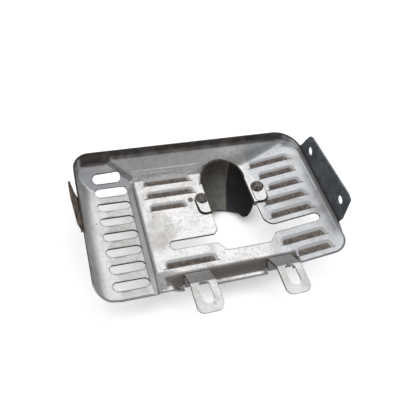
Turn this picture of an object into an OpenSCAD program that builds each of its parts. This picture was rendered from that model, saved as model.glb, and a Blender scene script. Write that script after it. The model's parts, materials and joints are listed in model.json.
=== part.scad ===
/* Exhaust heat shield: a pressed steel pan that guards a small engine's box muffler.
   It is seen here from its hollow side, which is +Z. +X runs along the length towards
   the big mounting plate, +Y towards the high rear wall. The flat middle of the floor
   is the plane z = 0 of the pan frame, with x = y = 0 at the left deflector rivet.
   At the end all nodes are shifted together, so that the origin of the part lies in
   the middle of the left front bracket's slot, on the bracket's upper face. */

/* [Sheet] */
// Thickness of the pressed pan sheet
sheet_t = 1.0; // [0.7:0.1:1.6]
// Thickness of brackets, plates and deflector
strip_t = 1.2; // [0.8:0.1:2]

/* [Pan outline] */
// Outer face of the left wall
left_x = -79.5; // [-90:0.1:-74]
// Outer face of the right wall
right_x = 81.9; // [76:0.1:90]
// Outer face of the rear wall
rear_y = 40.4; // [34:0.1:48]
// Outer face of the front wall
front_y = -61.2; // [-70:0.1:-56]
// Radius of three of the standing corners
corner_r = 11.0; // [6:0.5:16]
// Radius of the rear right corner
wide_corner_r = 18.0; // [8:0.5:24]

/* [Rim] */
// Height of the rim along the rear wall
rim_rear_z = 15.0; // [10:0.5:22]
// Height that the sloping trim line would have at the front wall
rim_front_z = -1.4; // [-4:0.1:0]
// Height of the right wall above the lifted floor
rim_right_h = 2.6; // [1:0.1:5]

/* [Left strip and step] */
// Depth of the slotted strip below the flat floor
strip_drop = 4.0; // [2:0.1:7]
// Upper edge of the step between strip and floor
step_x = -42.4; // [-48:0.1:-38]
// Rise of the step face per millimetre
step_slope = 1.25; // [0.8:0.05:3]
// Distance from the left wall to the bend where the strip starts to climb
left_bend_in = 15.5; // [10:0.1:20]
// Rise of the gentle left slope
left_slope = 0.30; // [0.1:0.05:0.6]
// Distance from the left wall to the second bend
left_bend2_in = 4.9; // [2:0.1:9]
// Rise of the steep left slope
left_slope2 = 1.3; // [0.6:0.1:3]
// Where the rear facet leaves the strip
facet_y = 19.0; // [12:0.5:26]
// Rise of the rear facet
facet_slope = 0.47; // [0.2:0.01:0.8]

/* [Rear bevel] */
// Rear edge of the flat floor
floor_rear_y = 23.4; // [18:0.1:28]
// The convex ridge above it
ridge_y = 26.7; // [24:0.1:30]
// Height of that ridge
ridge_z = 4.2; // [2:0.1:8]
// Rise of the bevel behind the ridge
bevel_slope = 0.43; // [0.2:0.01:0.8]
// Left end of the ridge
ridge_x = -42.2; // [-48:0.1:-38]
// Slope along X of the dark triangle that closes the bevel on the left
closing_slope_x = 0.95; // [0.5:0.05:2]
// Slope along Y of the same triangle
closing_slope_y = 1.46; // [0.5:0.05:3]

/* [Lifted right floor] */
// Bend line of the lifted floor, measured at y = 0
lift_x = 37.2; // [30:0.5:46]
// Rise towards the right
lift_slope_x = 0.19; // [0.05:0.01:0.4]
// Rise towards the rear
lift_slope_y = 0.03; // [0:0.01:0.1]
// Where the steep band under the ridge starts to sweep towards the rear
sweep_x = 16.0; // [8:0.5:30]
// Fall of the swept band towards the right
sweep_fall = 0.11; // [0.02:0.01:0.3]
// Rise of the swept band towards the rear
sweep_rise = 1.0; // [0.6:0.1:2]

/* [Front channel] */
// Front edge of the flat floor
channel_y = -52.3; // [-56:0.1:-48]
// Depth of the channel
channel_drop = 6.0; // [3:0.1:9]
// Rise of its rear face
channel_slope = 1.2; // [0.7:0.05:3]
// Left end of the channel
channel_left_x = -37.0; // [-42:0.1:-30]
// Right end of the channel
channel_right_x = 47.5; // [40:0.1:54]

/* [Slots of the left strip] */
// Number of slots in the row
slot_count = 8; // [4:1:10]
// Length of one slot
slot_len = 21.4; // [14:0.1:26]
// Width of one slot
slot_w = 6.2; // [4:0.1:8]
// Place of the row, to the right of the middle between wall and step
slot_shift = 3.65; // [0:0.05:6]
// Place of the front slot
slot_front_y = -51.3; // [-54:0.1:-48]
// Spacing of the row
slot_pitch = 11.8; // [9:0.1:14]
// How much closer the rear slot sits to its neighbour
last_slot_shift = 2.4; // [0:0.1:4]
// How much shorter the rear slot is
last_slot_short = 3.0; // [0:0.1:6]

/* [Louvers] */
// Width of a louver's window, from its straight front edge to its round rear edge
louver_w = 6.4; // [4:0.1:8]
// Depth of the hood at its open front
louver_depth = 3.8; // [2:0.1:5]
// Spacing of the left bank
left_pitch = 10.7; // [8:0.1:14]
// Spacing of the right bank
right_pitch = 11.1; // [8:0.1:14]
// Left end of the left bank
left_bank_x0 = -36.9; // [-40:0.1:-30]
// Right end of the left bank
left_bank_x1 = -2.0; // [-8:0.1:4]
// Middle of its rear louver
left_bank_y = 21.0; // [16:0.1:26]
// Left end of the right bank, along the lifted floor
right_bank_x0 = 41.0; // [38:0.1:46]
// Right end of the right bank
right_bank_x1 = 72.6; // [66:0.1:78]
// Middle of its front louver
right_bank_y = -54.6; // [-58:0.1:-50]
// Middle of the single front louver
front_louver_y = -44.5; // [-48:0.1:-40]
// How much the third left louver is shorter than the two behind it
left_short = 8.0; // [0:0.1:10]
// How much the sixth louver of the right bank is shorter; the seventh loses half of it
right_short = 6.5; // [0:0.1:10]

/* [Small dent] */
// Radius of the ball that made the dent
dent_r = 2.4; // [1.5:0.1:4]
// Depth of its mark
dent_depth = 1.2; // [0.5:0.1:2]
// Place of the dent along X, beside the third left louver
dent_x = -7.6; // [-12:0.1:-2]
// Place of the dent along Y
dent_y = 1.4; // [-3:0.1:4]

/* [Exhaust opening] */
// Left edge of the big opening
open_left_x = 3.6; // [0:0.1:8]
// Right edge of the big opening
open_right_x = 36.6; // [32:0.1:40]
// Front edge of the big opening
open_front_y = -41.8; // [-46:0.1:-38]
// Front end of its wider part beside the scoop
open_wide_y = -20.0; // [-26:0.5:-14]
// Size of the cut corners where the left arm starts
open_cut = 3.2; // [1:0.1:5]
// Size of the cut corner where the right arm starts
open_cut_r = 4.4; // [1:0.1:6]
// Gap between the opening's round rear edge and the scoop
scoop_gap = 0.4; // [0.2:0.1:1]
// Left end of the slot arms
arm_left_x = -29.4; // [-34:0.1:-24]
// Right end of the slot arms
arm_right_x = 72.5; // [66:0.1:78]
// Middle line of the slot arms
arm_y = -32.0; // [-36:0.1:-28]
// Width of the slot arms
arm_w = 6.4; // [5:0.1:8]

/* [Deflector] */
// Inner radius of the half-round scoop
scoop_r = 15.0; // [11:0.1:18]
// Middle line of the scoop
scoop_x = 19.2; // [16:0.1:22]
// Middle of its round rear end
scoop_y = 12.5; // [8:0.1:16]
// Tip of the tongue at the scoop's mouth, along X
tongue_x = 30.1; // [24:0.1:33]
// The same tip along Y
tongue_y = -12.6; // [-16:0.1:-9]
// Height of the tip
tongue_z = -9.1; // [-12:0.1:-6]
// Fall along X of the cut behind the tip
tongue_fall_x = 0.265; // [0:0.005:0.5]
// Fall along Y of the cut behind the tip
tongue_fall_y = 0.733; // [0.4:0.01:1.2]
// Rise along Y of the cut below the tip
tongue_rise_y = 2.0; // [1:0.1:4]
// Height of the rear collar above the floor
collar_z = 5.6; // [3:0.1:8]
// Radius of an ear round its rivet
ear_r = 4.6; // [3:0.1:7]
// Radius of an ear's front corner
ear_corner_r = 3.6; // [2:0.1:5]
// Front end of an ear, before its rivet
ear_front = 11.8; // [8:0.1:16]
// Rear tip of an ear, behind its rivet
ear_rear = 13.4; // [8:0.1:18]
// Place of the rear tip, towards the scoop
ear_tip = 3.8; // [2:0.1:6]
// How far an ear reaches towards the scoop
ear_reach = 6.0; // [4:0.1:9]

/* [Rivets] */
// Distance of the two rivets
rivet_dx = 41.2; // [38:0.1:46]
// Rear offset of the right rivet
rivet_dy = 2.6; // [0:0.1:5]
// Diameter of the domed head
rivet_head_d = 7.8; // [6:0.1:10]
// Height of the domed head
rivet_head_h = 1.5; // [0.8:0.1:3]
// Diameter of the shank
rivet_shank_d = 4.0; // [3:0.1:5]
// Diameter of the closing head
rivet_tail_d = 6.0; // [5:0.1:8]
// Height of the closing head
rivet_tail_h = 0.8; // [0.4:0.1:2]

/* [Front brackets] */
// Width of a bracket
bracket_w = 15.9; // [12:0.1:22]
// Middle of the left bracket
left_bracket_x = -18.6; // [-24:0.1:-12]
// Middle of the right bracket
right_bracket_x = 35.6; // [30:0.1:42]
// Height of the flat leg above the floor
bracket_z = 8.4; // [4:0.1:12]
// Where the rising part turns into the flat leg
bracket_bend_y = -64.4; // [-70:0.1:-60]
// Free end of the flat leg
bracket_end_y = -83.6; // [-90:0.1:-76]
// Width of the slot, for a 6 mm bolt
bracket_slot_w = 7.0; // [5:0.1:9]
// Length of the slot
bracket_slot_len = 14.4; // [8:0.1:17]
// Middle of the slot
bracket_slot_y = -71.2; // [-76:0.1:-68]
// Radius of the leg's corners
bracket_corner_r = 4.2; // [1:0.1:6]
// Length of the welded foot
bracket_foot = 9.0; // [5:0.1:12]
// Outer radius of the bends of brackets and tab
bend_r = 2.6; // [1.6:0.1:5]
// Clearance of the rim's notch beside a bracket
notch_gap = 0.6; // [0.2:0.1:1.5]
// How far the notch runs up the channel's rear face
notch_end = 0.2; // [0:0.1:1]

/* [Mounting plates] */
// Diameter of the right plate's holes
plate_hole_d = 6.0; // [4:0.1:8]
// Height of the rear hole
plate_hole_z = 18.8; // [12:0.1:24]
// How much higher the front hole sits
plate_hole_step = 2.0; // [0:0.1:4]
// Place of the rear hole
plate_hole_rear_y = 14.0; // [8:0.1:20]
// Distance of the two holes
plate_hole_pitch = 46.4; // [40:0.1:54]
// Height of the right plate's foot
plate_foot_z = 3.0; // [1:0.1:5]
// Height of its top edge at the rear
plate_top_z = 28.8; // [22:0.2:36]
// Rise of the top edge towards the front
plate_top_rise = 2.2; // [0:0.1:4]
// Metal behind the rear hole, at the top edge
plate_rear_margin = 3.0; // [2:0.1:8]
// Metal before the front hole
plate_front_margin = 7.6; // [4:0.1:12]
// How far the foot runs on behind the top edge
plate_tail = 12.0; // [8:0.1:16]
// Height of the tail's corner
plate_tail_z = 9.0; // [6:0.1:12]
// Place of the neck behind the top edge
plate_neck = 8.6; // [6:0.1:12]
// Height of the neck
plate_neck_z = 14.0; // [10:0.1:18]
// Size of the rear corner
plate_corner = 5.4; // [3:0.1:8]
// Length of the front corner's cut
plate_cut = 4.5; // [2:0.1:8]
// How far the front edge bulges
plate_bulge = 1.8; // [0:0.1:4]
// Height of that bulge
plate_bulge_z = 12.4; // [8:0.1:18]
// How much the plate's ends draw in at the foot
plate_lean = 1.0; // [0:0.1:3]

/* [Left tab] */
// Rear end of the tab's foot
tab_rear_y = 10.5; // [0:0.5:20]
// Front end of the tab
tab_front_y = -14.0; // [-24:0.5:-4]
// Height of the welded foot
tab_foot_h = 3.5; // [2:0.1:5]
// Height of the bend
tab_bend_z = 7.0; // [4:0.1:9]
// Lean of the part beyond the bend, in degrees
tab_lean = 15; // [5:1:40]
// Length beyond the bend
tab_len = 12.5; // [8:0.1:20]
// Height of the tab's side edges beyond the bend
tab_side_h = 6.0; // [4:0.1:9]
// How far the rear tip stands out behind the foot
tab_flare = 4.0; // [0:0.1:8]
// Width of the straight tip
tab_tip_w = 12.0; // [8:0.1:18]
// Place of the tab's hole along Y
tab_hole_y = 6.0; // [-4:0.1:12]
// Distance of the hole from the bend
tab_hole_h = 6.6; // [4:0.1:10]
// Diameter of the hole
tab_hole_d = 6.0; // [4:0.1:8]

/* [Quality] */
// Number of straight pieces in a full circle of the preview
$fn = 48; // [24:8:96]

/* [Hidden] */
// A size beyond the whole part, for cutting blocks
big = 260;
// The rim stands this far above the floor where the trim line would meet it
eps = 0.02;
// Straight pieces in one bend of a bracket or tab
arc_n = 5;
tongue = [tongue_x, tongue_y, tongue_z];
left_bend_x = left_x + left_bend_in;
left_bend2_x = left_x + left_bend2_in;
slot_x = (left_x + step_x) / 2 + slot_shift;
front_short = channel_right_x - right_bank_x0;
plate_rear_y = plate_hole_rear_y + plate_rear_margin;
plate_front_y = plate_hole_rear_y - plate_hole_pitch - plate_front_margin;
band_slope = ridge_z / (ridge_y - floor_rear_y);
louver_rise = (pow(louver_w, 2) - pow(louver_depth, 2)) / (2 * louver_depth);
rim_slope = (rim_rear_z - rim_front_z) / (rear_y - front_y);
louver_len_l = left_bank_x1 - left_bank_x0;
louver_len_r = right_bank_x1 - right_bank_x0;
bracket_rise = atan2(bracket_z, channel_y - bracket_bend_y);
origin_at = [left_bracket_x, bracket_slot_y, bracket_z];

function lift_z(x, y) = lift_slope_x * (x - lift_x) + lift_slope_y * y;

module datum() translate(-origin_at) children();

/* All that lies below the plane through p that rises by a along X and b along Y,
   with its surface set back by o along its own normal. */
module below(p, a, b, o)
  translate(p) rotate([0, atan(norm([a, b])), atan2(-b, -a)])
    translate([-big / 2, -big / 2, -big - o]) cube([big, big, big]);

/* Standing corners joined by straight walls that touch them; o sets the outline in. */
module outline(o) {
  a = corner_r;
  w = wide_corner_r;
  c = [[left_x + a, front_y + a, a], [right_x - a, front_y + a, a],
       [right_x - w, rear_y - w, w], [left_x + a, rear_y - a, a]];
  for (p = c) translate([p[0], p[1]]) circle(r = p[2] - o);
  polygon([for (k = [0:3], end = [0, 1])
    let (p = c[k], q = c[(k + 1) % 4], d = [q[0] - p[0], q[1] - p[1]], l = norm(d),
         u = (p[2] - q[2]) / l, v = sqrt(1 - u * u),
         n = [u * d[0] + v * d[1], u * d[1] - v * d[0]] / l, m = end == 0 ? p : q)
    [m[0], m[1]] + (m[2] - o) * n]);
}

module floor_body(o) {
  intersection() {
    below([0, 0, 0], 0, 0, o);
    below([step_x, 0, 0], step_slope, 0, o);
  }
}

module bevel_body(o) {
  intersection() {
    below([0, ridge_y, ridge_z], 0, bevel_slope, o);
    below([0, floor_rear_y, 0], 0, band_slope, o);
    below([ridge_x, ridge_y, ridge_z], closing_slope_x, closing_slope_y, o);
    below([sweep_x, ridge_y, ridge_z], -sweep_fall, sweep_rise, o);
  }
}

module lift_body(o) below([lift_x, 0, 0], lift_slope_x, lift_slope_y, o);

module strip_body(o) {
  below([0, 0, -strip_drop], 0, 0, o);
  below([left_bend_x, 0, -strip_drop], -left_slope, 0, o);
  below([left_bend2_x, 0, -strip_drop - left_slope * (left_bend2_x - left_bend_x)],
        -left_slope2, 0, o);
  below([0, facet_y, -strip_drop], 0, facet_slope, o);
}

/* The channel along the front edge: its rear face slopes, both ends are upright. */
module channel_air(o) {
  w = channel_right_x - channel_left_x;
  depth = channel_drop + o;
  y0 = channel_y + o * norm([1, channel_slope]) / channel_slope;
  top = 3 * channel_drop;
  translate([channel_left_x - o, 0, 0]) rotate([90, 0, 90])
    linear_extrude(w + 2 * o)
      polygon([[y0 + top / channel_slope, top], [y0 - depth / channel_slope, -depth],
               [front_y - top, -depth], [front_y - top, top]]);
}

module ground(o) {
  difference() {
    union() {
      floor_body(o);
      bevel_body(o);
      lift_body(o);
      strip_body(o);
    }
    channel_air(o);
  }
}

/* What the cut of the rim leaves: a sloping plane, higher along the right wall. */
module rim_limit() {
  below([0, rear_y, rim_rear_z], 0, rim_slope, 0);
  intersection() {
    below([lift_x, 0, rim_right_h], lift_slope_x, lift_slope_y, 0);
    below([0, 0, rim_rear_z], 0, 0, 0);
    translate([lift_x, -big / 2, -big / 2]) cube([big, big, big]);
  }
  below([0, 0, eps], 0, 0, 0);
}

module capsule(len, r) {
  rotate([0, 90, 0]) cylinder(r = r, h = len);
  for (x = [0, len]) translate([x, 0, 0]) sphere(r = r);
}

/* A slot that cuts right through, from x = 0 to len. */
module stadium(len, w) translate([0, 0, -big / 2]) linear_extrude(big) {
  for (x = [w / 2, len - w / 2]) translate([x, 0]) circle(d = w);
  translate([w / 2, -w / 2]) square([len - w, w]);
}

/* A louver is a quarter of a long capsule: its front is cut straight and stands open,
   its rear and both ends run out round into the floor. Its front edge lies along X. */
module louver_shell(len, o) intersection() {
  translate([louver_w, 0, louver_rise]) capsule(len - 2 * louver_w, louver_rise + louver_depth + o);
  translate([-big / 2, 0, -big / 2]) cube([big, big, big]);
}
module louver_hood(len) intersection() {
  louver_shell(len, sheet_t);
  translate([-big / 2, -big / 2, -big - sheet_t / 2]) cube([big, big, big]);
}
module louver_cut(len) louver_shell(len, 0);

/* Places children(0) at every louver of the pan; the length is passed by $len. */
module at_louvers() {
  for (k = [0:2]) {
    $len = louver_len_l - (k == 2 ? left_short : 0);
    translate([left_bank_x0, left_bank_y - k * left_pitch - louver_w / 2, 0]) children();
  }
  $len = louver_len_l;
  translate([left_bank_x0, front_louver_y - louver_w / 2, 0]) children();
  for (k = [0, 1, 3, 4, 5, 6, 7]) {
    short = k == 0 ? front_short : k == 5 ? right_short : k == 6 ? right_short / 2 : 0;
    $len = louver_len_r - short;
    x = right_bank_x0 + short;
    y = right_bank_y + k * right_pitch - louver_w / 2;
    on_lift(x, y) children();
  }
}

/* The big opening: round behind the scoop, straight sides with cut corners, two arms. */
module opening() {
  r = scoop_r + strip_t + scoop_gap;
  arm_y0 = arm_y - arm_w / 2;
  arm_y1 = arm_y + arm_w / 2;
  translate([0, 0, -big / 2]) linear_extrude(big) {
    translate([scoop_x, scoop_y]) circle(r = r);
    translate([scoop_x - r, open_wide_y]) square([2 * r, scoop_y - open_wide_y]);
    polygon([[open_left_x, scoop_y], [open_left_x, arm_y1 + open_cut],
             [open_left_x - open_cut, arm_y1], [open_left_x - open_cut, arm_y0],
             [open_left_x + open_cut / 2, open_front_y],
             [open_right_x - open_cut / 2, open_front_y],
             [open_right_x + open_cut_r, arm_y0], [open_right_x + open_cut_r, arm_y1],
             [open_right_x, arm_y1 + open_cut_r], [open_right_x, scoop_y]]);
    translate([arm_left_x + arm_w / 2, arm_y]) circle(d = arm_w);
    translate([arm_right_x - arm_w / 2, arm_y]) circle(d = arm_w);
    translate([arm_left_x + arm_w / 2, arm_y0])
      square([arm_right_x - arm_left_x - arm_w, arm_w]);
  }
}

module left_slots() {
  for (k = [0:slot_count - 1]) {
    last = k == slot_count - 1 ? 1 : 0;
    y = slot_front_y + k * slot_pitch - last * last_slot_shift;
    translate([slot_x - slot_len / 2, y, 0])
      stadium(slot_len - last * last_slot_short, slot_w);
  }
}

/* Rim and channel floor are notched where a bracket's foot comes down. */
module rim_notch(x) {
  rear = channel_y - channel_drop / channel_slope + notch_end;
  translate([x - bracket_w / 2 - notch_gap, rear - big, -big / 2])
    cube([bracket_w + 2 * notch_gap, big, big]);
}

/* A dimple in the flat floor: the sheet keeps its thickness round the ball. */
module dent(o) translate([dent_x, dent_y, dent_r - dent_depth]) sphere(r = dent_r + o);

/* Turns what is drawn on z = 0 onto the lifted floor at (x, y). */
module on_lift(x, y) translate([x, y, lift_z(x, y)])
  rotate([0, atan(norm([lift_slope_x, lift_slope_y])), atan2(-lift_slope_y, -lift_slope_x)])
    rotate(-atan2(-lift_slope_y, -lift_slope_x)) children();

module rivet_place(right) {
  if (right) on_lift(rivet_dx, rivet_dy) children();
  else children();
}

module pan() datum() color("silver") difference() {
  union() {
    intersection() {
      difference() {
        translate([0, 0, -big / 2]) linear_extrude(big) outline(0);
        ground(sheet_t);
        difference() {
          translate([0, 0, -big / 2]) linear_extrude(big) outline(sheet_t);
          ground(0);
        }
      }
      rim_limit();
    }
    at_louvers() louver_hood($len);
    intersection() {
      dent(sheet_t);
      below([0, 0, -sheet_t / 2], 0, 0, 0);
    }
  }
  at_louvers() louver_cut($len);
  dent(0);
  opening();
  left_slots();
  for (x = [left_bracket_x, right_bracket_x]) rim_notch(x);
  for (r = [false, true]) rivet_place(r) cylinder(d = rivet_shank_d, h = big / 4, center = true);
}

/* Half-round scoop that hangs through the opening, closed at the rear by a quarter ball. */
module scoop_solid(r) {
  translate([scoop_x, scoop_y, strip_t]) {
    sphere(r = r);
    rotate([90, 0, 0]) cylinder(r = r, h = big / 4);
  }
}
module ear_outline(right) {
  s = right ? -1 : 1;
  x = right ? rivet_dx : 0;
  y = right ? rivet_dy : 0;
  c = ear_corner_r;
  translate([x, y]) {
    circle(r = ear_r);
    translate([0, c - ear_front]) circle(r = c);
    polygon([[-s * ear_r, 0], [-s * c, c - ear_front], [0, -ear_front],
             [s * ear_reach, -ear_front], [s * ear_reach, ear_rear], [s * ear_tip, ear_rear]]);
  }
}
/* The ears follow the floor: the right one is bent where the floor starts to rise. */
module floor_top(o) {
  floor_body(o);
  lift_body(o);
}
module deflector_ears() difference() {
  intersection() {
    floor_top(-strip_t);
    translate([0, 0, -big / 2]) linear_extrude(big) {
      for (right = [false, true]) ear_outline(right);
      translate([scoop_x - scoop_r - strip_t, -ear_front])
        square([2 * (scoop_r + strip_t), scoop_y + ear_front]);
      translate([scoop_x, scoop_y]) circle(r = scoop_r + strip_t);
    }
  }
  floor_top(0);
}
module deflector() datum() color("dimgray") difference() {
  union() {
    deflector_ears();
    intersection() {
      scoop_solid(scoop_r + strip_t);
      translate([-big / 2, -big / 2, -big]) cube([big, big, big + strip_t]);
    }
    intersection() {
      translate([scoop_x, scoop_y, 0]) cylinder(r = scoop_r + strip_t, h = collar_z);
      translate([-big / 2, scoop_y, -big / 2]) cube([big, big, big]);
    }
  }
  scoop_solid(scoop_r);
  translate([scoop_x, scoop_y, 0]) cylinder(r = scoop_r, h = big);
  translate([scoop_x - scoop_r, scoop_y - big, 0]) cube([2 * scoop_r, big, big]);
  below(tongue, -tongue_fall_x, -tongue_fall_y, 0);
  difference() {
    below([0, 0, 0], 0, 0, 0);
    below(tongue, 0, tongue_rise_y, 0);
  }
  translate([-big / 2, -big - ear_front, -eps]) cube([big, big, big]);
  for (right = [false, true])
    rivet_place(right) cylinder(d = rivet_shank_d, h = 4 * strip_t, center = true);
}

/* A rivet: low domed head above the ear, shank through both sheets, flat closing head. */
module rivet(right) datum() color("darkslategray") rivet_place(right) {
  cap_r = (pow(rivet_head_d / 2, 2) + pow(rivet_head_h, 2)) / (2 * rivet_head_h);
  foot = -sheet_t - rivet_tail_h;
  intersection() {
    translate([0, 0, strip_t + rivet_head_h - cap_r]) sphere(r = cap_r);
    translate([0, 0, strip_t]) cylinder(d = rivet_head_d, h = rivet_head_h);
  }
  translate([0, 0, foot]) cylinder(d = rivet_shank_d, h = strip_t + rivet_head_h / 4 - foot);
  translate([0, 0, foot]) cylinder(d = rivet_tail_d, h = rivet_tail_h);
}

/* Points of a bend at b, from heading a1 to heading a2, turning left about one centre.
   big_r is the radius of the outer side, r the radius of the side wanted. */
function bend(b, a1, a2, big_r, r) =
  let (k = big_r * tan((a2 - a1) / 2),
       c = b - k * [cos(a1), sin(a1)] + big_r * [-sin(a1), cos(a1)])
  [for (i = [0:arc_n]) let (f = a1 - 90 + (a2 - a1) * i / arc_n) c + r * [cos(f), sin(f)]];
function reversed(v) = [for (i = [len(v) - 1:-1:0]) v[i]];

/* Side view of a bracket: a foot on the channel's rear face, a rise, a flat leg. */
module bracket_side() {
  up = atan(channel_slope);
  rise = 180 - bracket_rise;
  edge = [channel_y, 0];
  top = [bracket_bend_y, bracket_z];
  toe = edge - bracket_foot * [cos(up), sin(up)];
  in = bend_r - strip_t;
  polygon(concat(
    [toe], bend(edge, up, rise, bend_r, bend_r), bend(top, rise, 180, bend_r, bend_r),
    [[bracket_end_y, bracket_z], [bracket_end_y, bracket_z - strip_t]],
    reversed(bend(top, rise, 180, bend_r, in)), reversed(bend(edge, up, rise, bend_r, in)),
    [toe + strip_t * [-sin(up), cos(up)]]));
}

/* The same bracket seen from above: straight sides and a round-cornered end. */
module bracket_plan() {
  r = bracket_corner_r;
  w = bracket_w;
  translate([-w / 2, bracket_end_y + r]) square([w, big]);
  translate([r - w / 2, bracket_end_y]) square([w - 2 * r, big]);
  for (side = [-1, 1]) translate([side * (w / 2 - r), bracket_end_y + r]) circle(r = r);
}

module bracket(x) datum() color("gainsboro") translate([x, 0, 0]) difference() {
  intersection() {
    translate([-big / 2, 0, 0]) rotate([90, 0, 90]) linear_extrude(big) bracket_side();
    translate([0, 0, -big / 2]) linear_extrude(big) bracket_plan();
  }
  translate([0, bracket_slot_y - bracket_slot_len / 2, 0]) rotate(90)
    stadium(bracket_slot_len, bracket_slot_w);
}

/* Right plate: stands upright on the outer face of the right wall. */
module plate_right() datum() color("slategray")
  translate([right_x, 0, 0]) difference() {
    rotate([90, 0, 90]) linear_extrude(strip_t)
      polygon([[plate_rear_y + plate_tail, plate_foot_z],
               [plate_rear_y + plate_tail + plate_lean, plate_tail_z],
               [plate_rear_y + plate_neck, plate_neck_z],
               [plate_rear_y + plate_corner, plate_top_z - plate_corner * 1.15],
               [plate_rear_y + plate_corner * 0.6, plate_top_z - plate_corner * 0.3],
               [plate_rear_y, plate_top_z],
               [plate_front_y + plate_cut, plate_top_z + plate_top_rise],
               [plate_front_y, plate_top_z + plate_top_rise - plate_cut * 0.31],
               [plate_front_y - plate_bulge, plate_bulge_z],
               [plate_front_y + plate_lean, plate_foot_z]]);
    for (k = [0, 1])
      translate([0, plate_hole_rear_y - k * plate_hole_pitch, plate_hole_z + plate_hole_step * k])
        rotate([0, 90, 0]) cylinder(d = plate_hole_d, h = 4 * strip_t, center = true);
  }

/* Left tab: a foot on the outer face of the left wall, then a part that leans out. */
module tab_left() datum() color("slategray") difference() {
  lean = 90 + tab_lean;
  far = [cos(lean), sin(lean)];
  in = bend_r - strip_t;
  b = [left_x, tab_bend_z];
  tip = b + (tab_len + bend_r) * far;
  up = cos(tab_lean);
  intersection() {
    translate([0, big / 2, 0]) rotate([90, 0, 0]) linear_extrude(big)
      polygon(concat([[left_x, tab_bend_z - tab_foot_h]], bend(b, 90, lean, bend_r, bend_r),
        [tip, tip + strip_t * [-far[1], far[0]]], reversed(bend(b, 90, lean, bend_r, in)),
        [[left_x - strip_t, tab_bend_z - tab_foot_h]]));
    translate([left_x - big / 2, 0, tab_bend_z]) rotate([90, 0, 90]) linear_extrude(big)
      polygon([[tab_front_y, -big / 2], [tab_rear_y, -big / 2],
               [tab_rear_y, tab_side_h * up], [tab_rear_y + tab_flare, tab_len * up],
               [tab_rear_y + tab_flare - tab_tip_w, tab_len * up],
               [tab_front_y, tab_side_h * up]]);
  }
  translate([left_x, tab_hole_y, tab_bend_z]) rotate([0, -tab_lean, 0])
    translate([0, 0, tab_hole_h]) rotate([0, 90, 0])
      cylinder(d = tab_hole_d, h = 6 * strip_t, center = true);
}

pan();
deflector();
rivet(false);  // rivet_left
rivet(true);  // rivet_right
bracket(left_bracket_x);  // bracket_left
bracket(right_bracket_x);  // bracket_right
plate_right();
tab_left();
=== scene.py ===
# %% [markdown]
# This lesson dresses the pressed steel heat shield of a small engine. The construction comes
# from the packed CAD frame, in metres. Blender adds what a press and a few hot years add:
# rounded bends, rolled louver edges, stained steel, brown cut edges and a sooty deflector.

# %% Load the frame
import json
import math
from types import SimpleNamespace

import bpy
import numpy as np
from mathutils import Matrix, Vector
from mathutils.geometry import delaunay_2d_cdt

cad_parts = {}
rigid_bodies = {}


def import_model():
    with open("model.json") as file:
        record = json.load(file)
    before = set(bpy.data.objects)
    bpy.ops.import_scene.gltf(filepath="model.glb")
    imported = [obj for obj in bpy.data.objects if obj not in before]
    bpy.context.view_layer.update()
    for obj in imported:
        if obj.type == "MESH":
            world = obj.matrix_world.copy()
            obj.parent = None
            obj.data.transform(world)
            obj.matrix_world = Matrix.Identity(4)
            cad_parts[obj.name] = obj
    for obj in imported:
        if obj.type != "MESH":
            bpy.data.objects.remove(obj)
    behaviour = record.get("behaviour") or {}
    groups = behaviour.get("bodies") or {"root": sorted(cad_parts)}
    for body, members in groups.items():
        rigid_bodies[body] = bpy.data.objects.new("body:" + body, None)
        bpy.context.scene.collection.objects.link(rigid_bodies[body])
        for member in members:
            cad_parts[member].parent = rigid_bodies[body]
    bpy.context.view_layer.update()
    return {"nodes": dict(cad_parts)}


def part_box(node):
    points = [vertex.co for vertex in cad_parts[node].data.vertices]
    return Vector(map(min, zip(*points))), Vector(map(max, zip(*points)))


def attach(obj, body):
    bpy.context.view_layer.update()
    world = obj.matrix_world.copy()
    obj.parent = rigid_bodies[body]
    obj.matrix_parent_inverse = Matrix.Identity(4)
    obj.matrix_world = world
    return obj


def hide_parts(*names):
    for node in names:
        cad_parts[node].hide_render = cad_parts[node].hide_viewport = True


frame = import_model()
nodes = frame["nodes"]
scene = bpy.context.scene
print("nodes:", ", ".join(sorted(nodes)))

# %% [markdown]
# The drawing of the pan is kept in millimetres, with x = y = 0 at the left rivet and z = 0 on
# the flat floor. One shift and one scale bring it into the frame, whose origin is the middle
# of the left bracket's slot.

# %% Drawing units and the frame's origin
MM = 0.001
ORIGIN = np.array([-18.6, -71.2, 8.4])
# Thickness of the pan's sheet and of the deflector's.
PAN_THICK = 1.0
SCOOP_THICK = 1.2


def to_frame(points):
    """Millimetres of the drawing to metres of the frame."""
    return (np.asarray(points, float) - ORIGIN) * MM


print("frame origin in the drawing:", ORIGIN)

# %% [markdown]
# The camera stands where the photographer stood: in front of the part, a little to its left
# and about fifty degrees up. Its three axes and its place were worked out from points that
# can be recognised on the part, so they are written as plain numbers here.

# %% Camera
IMAGE = 416
FOCAL_PX = 475.17
SENSOR_MM = 36.0
DISTANCE = 320.0
AIM_PX = (201.5, 199.5)
RIGHT = np.array([0.9501, -0.2830, 0.1316])
DOWN = np.array([-0.1466, -0.7769, -0.6123])
AHEAD = np.array([0.2755, 0.5624, -0.7796])


def add_object(name, data):
    """A new object at the origin, linked to the scene."""
    thing = bpy.data.objects.new(name, data)
    scene.collection.objects.link(thing)
    return thing


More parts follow.
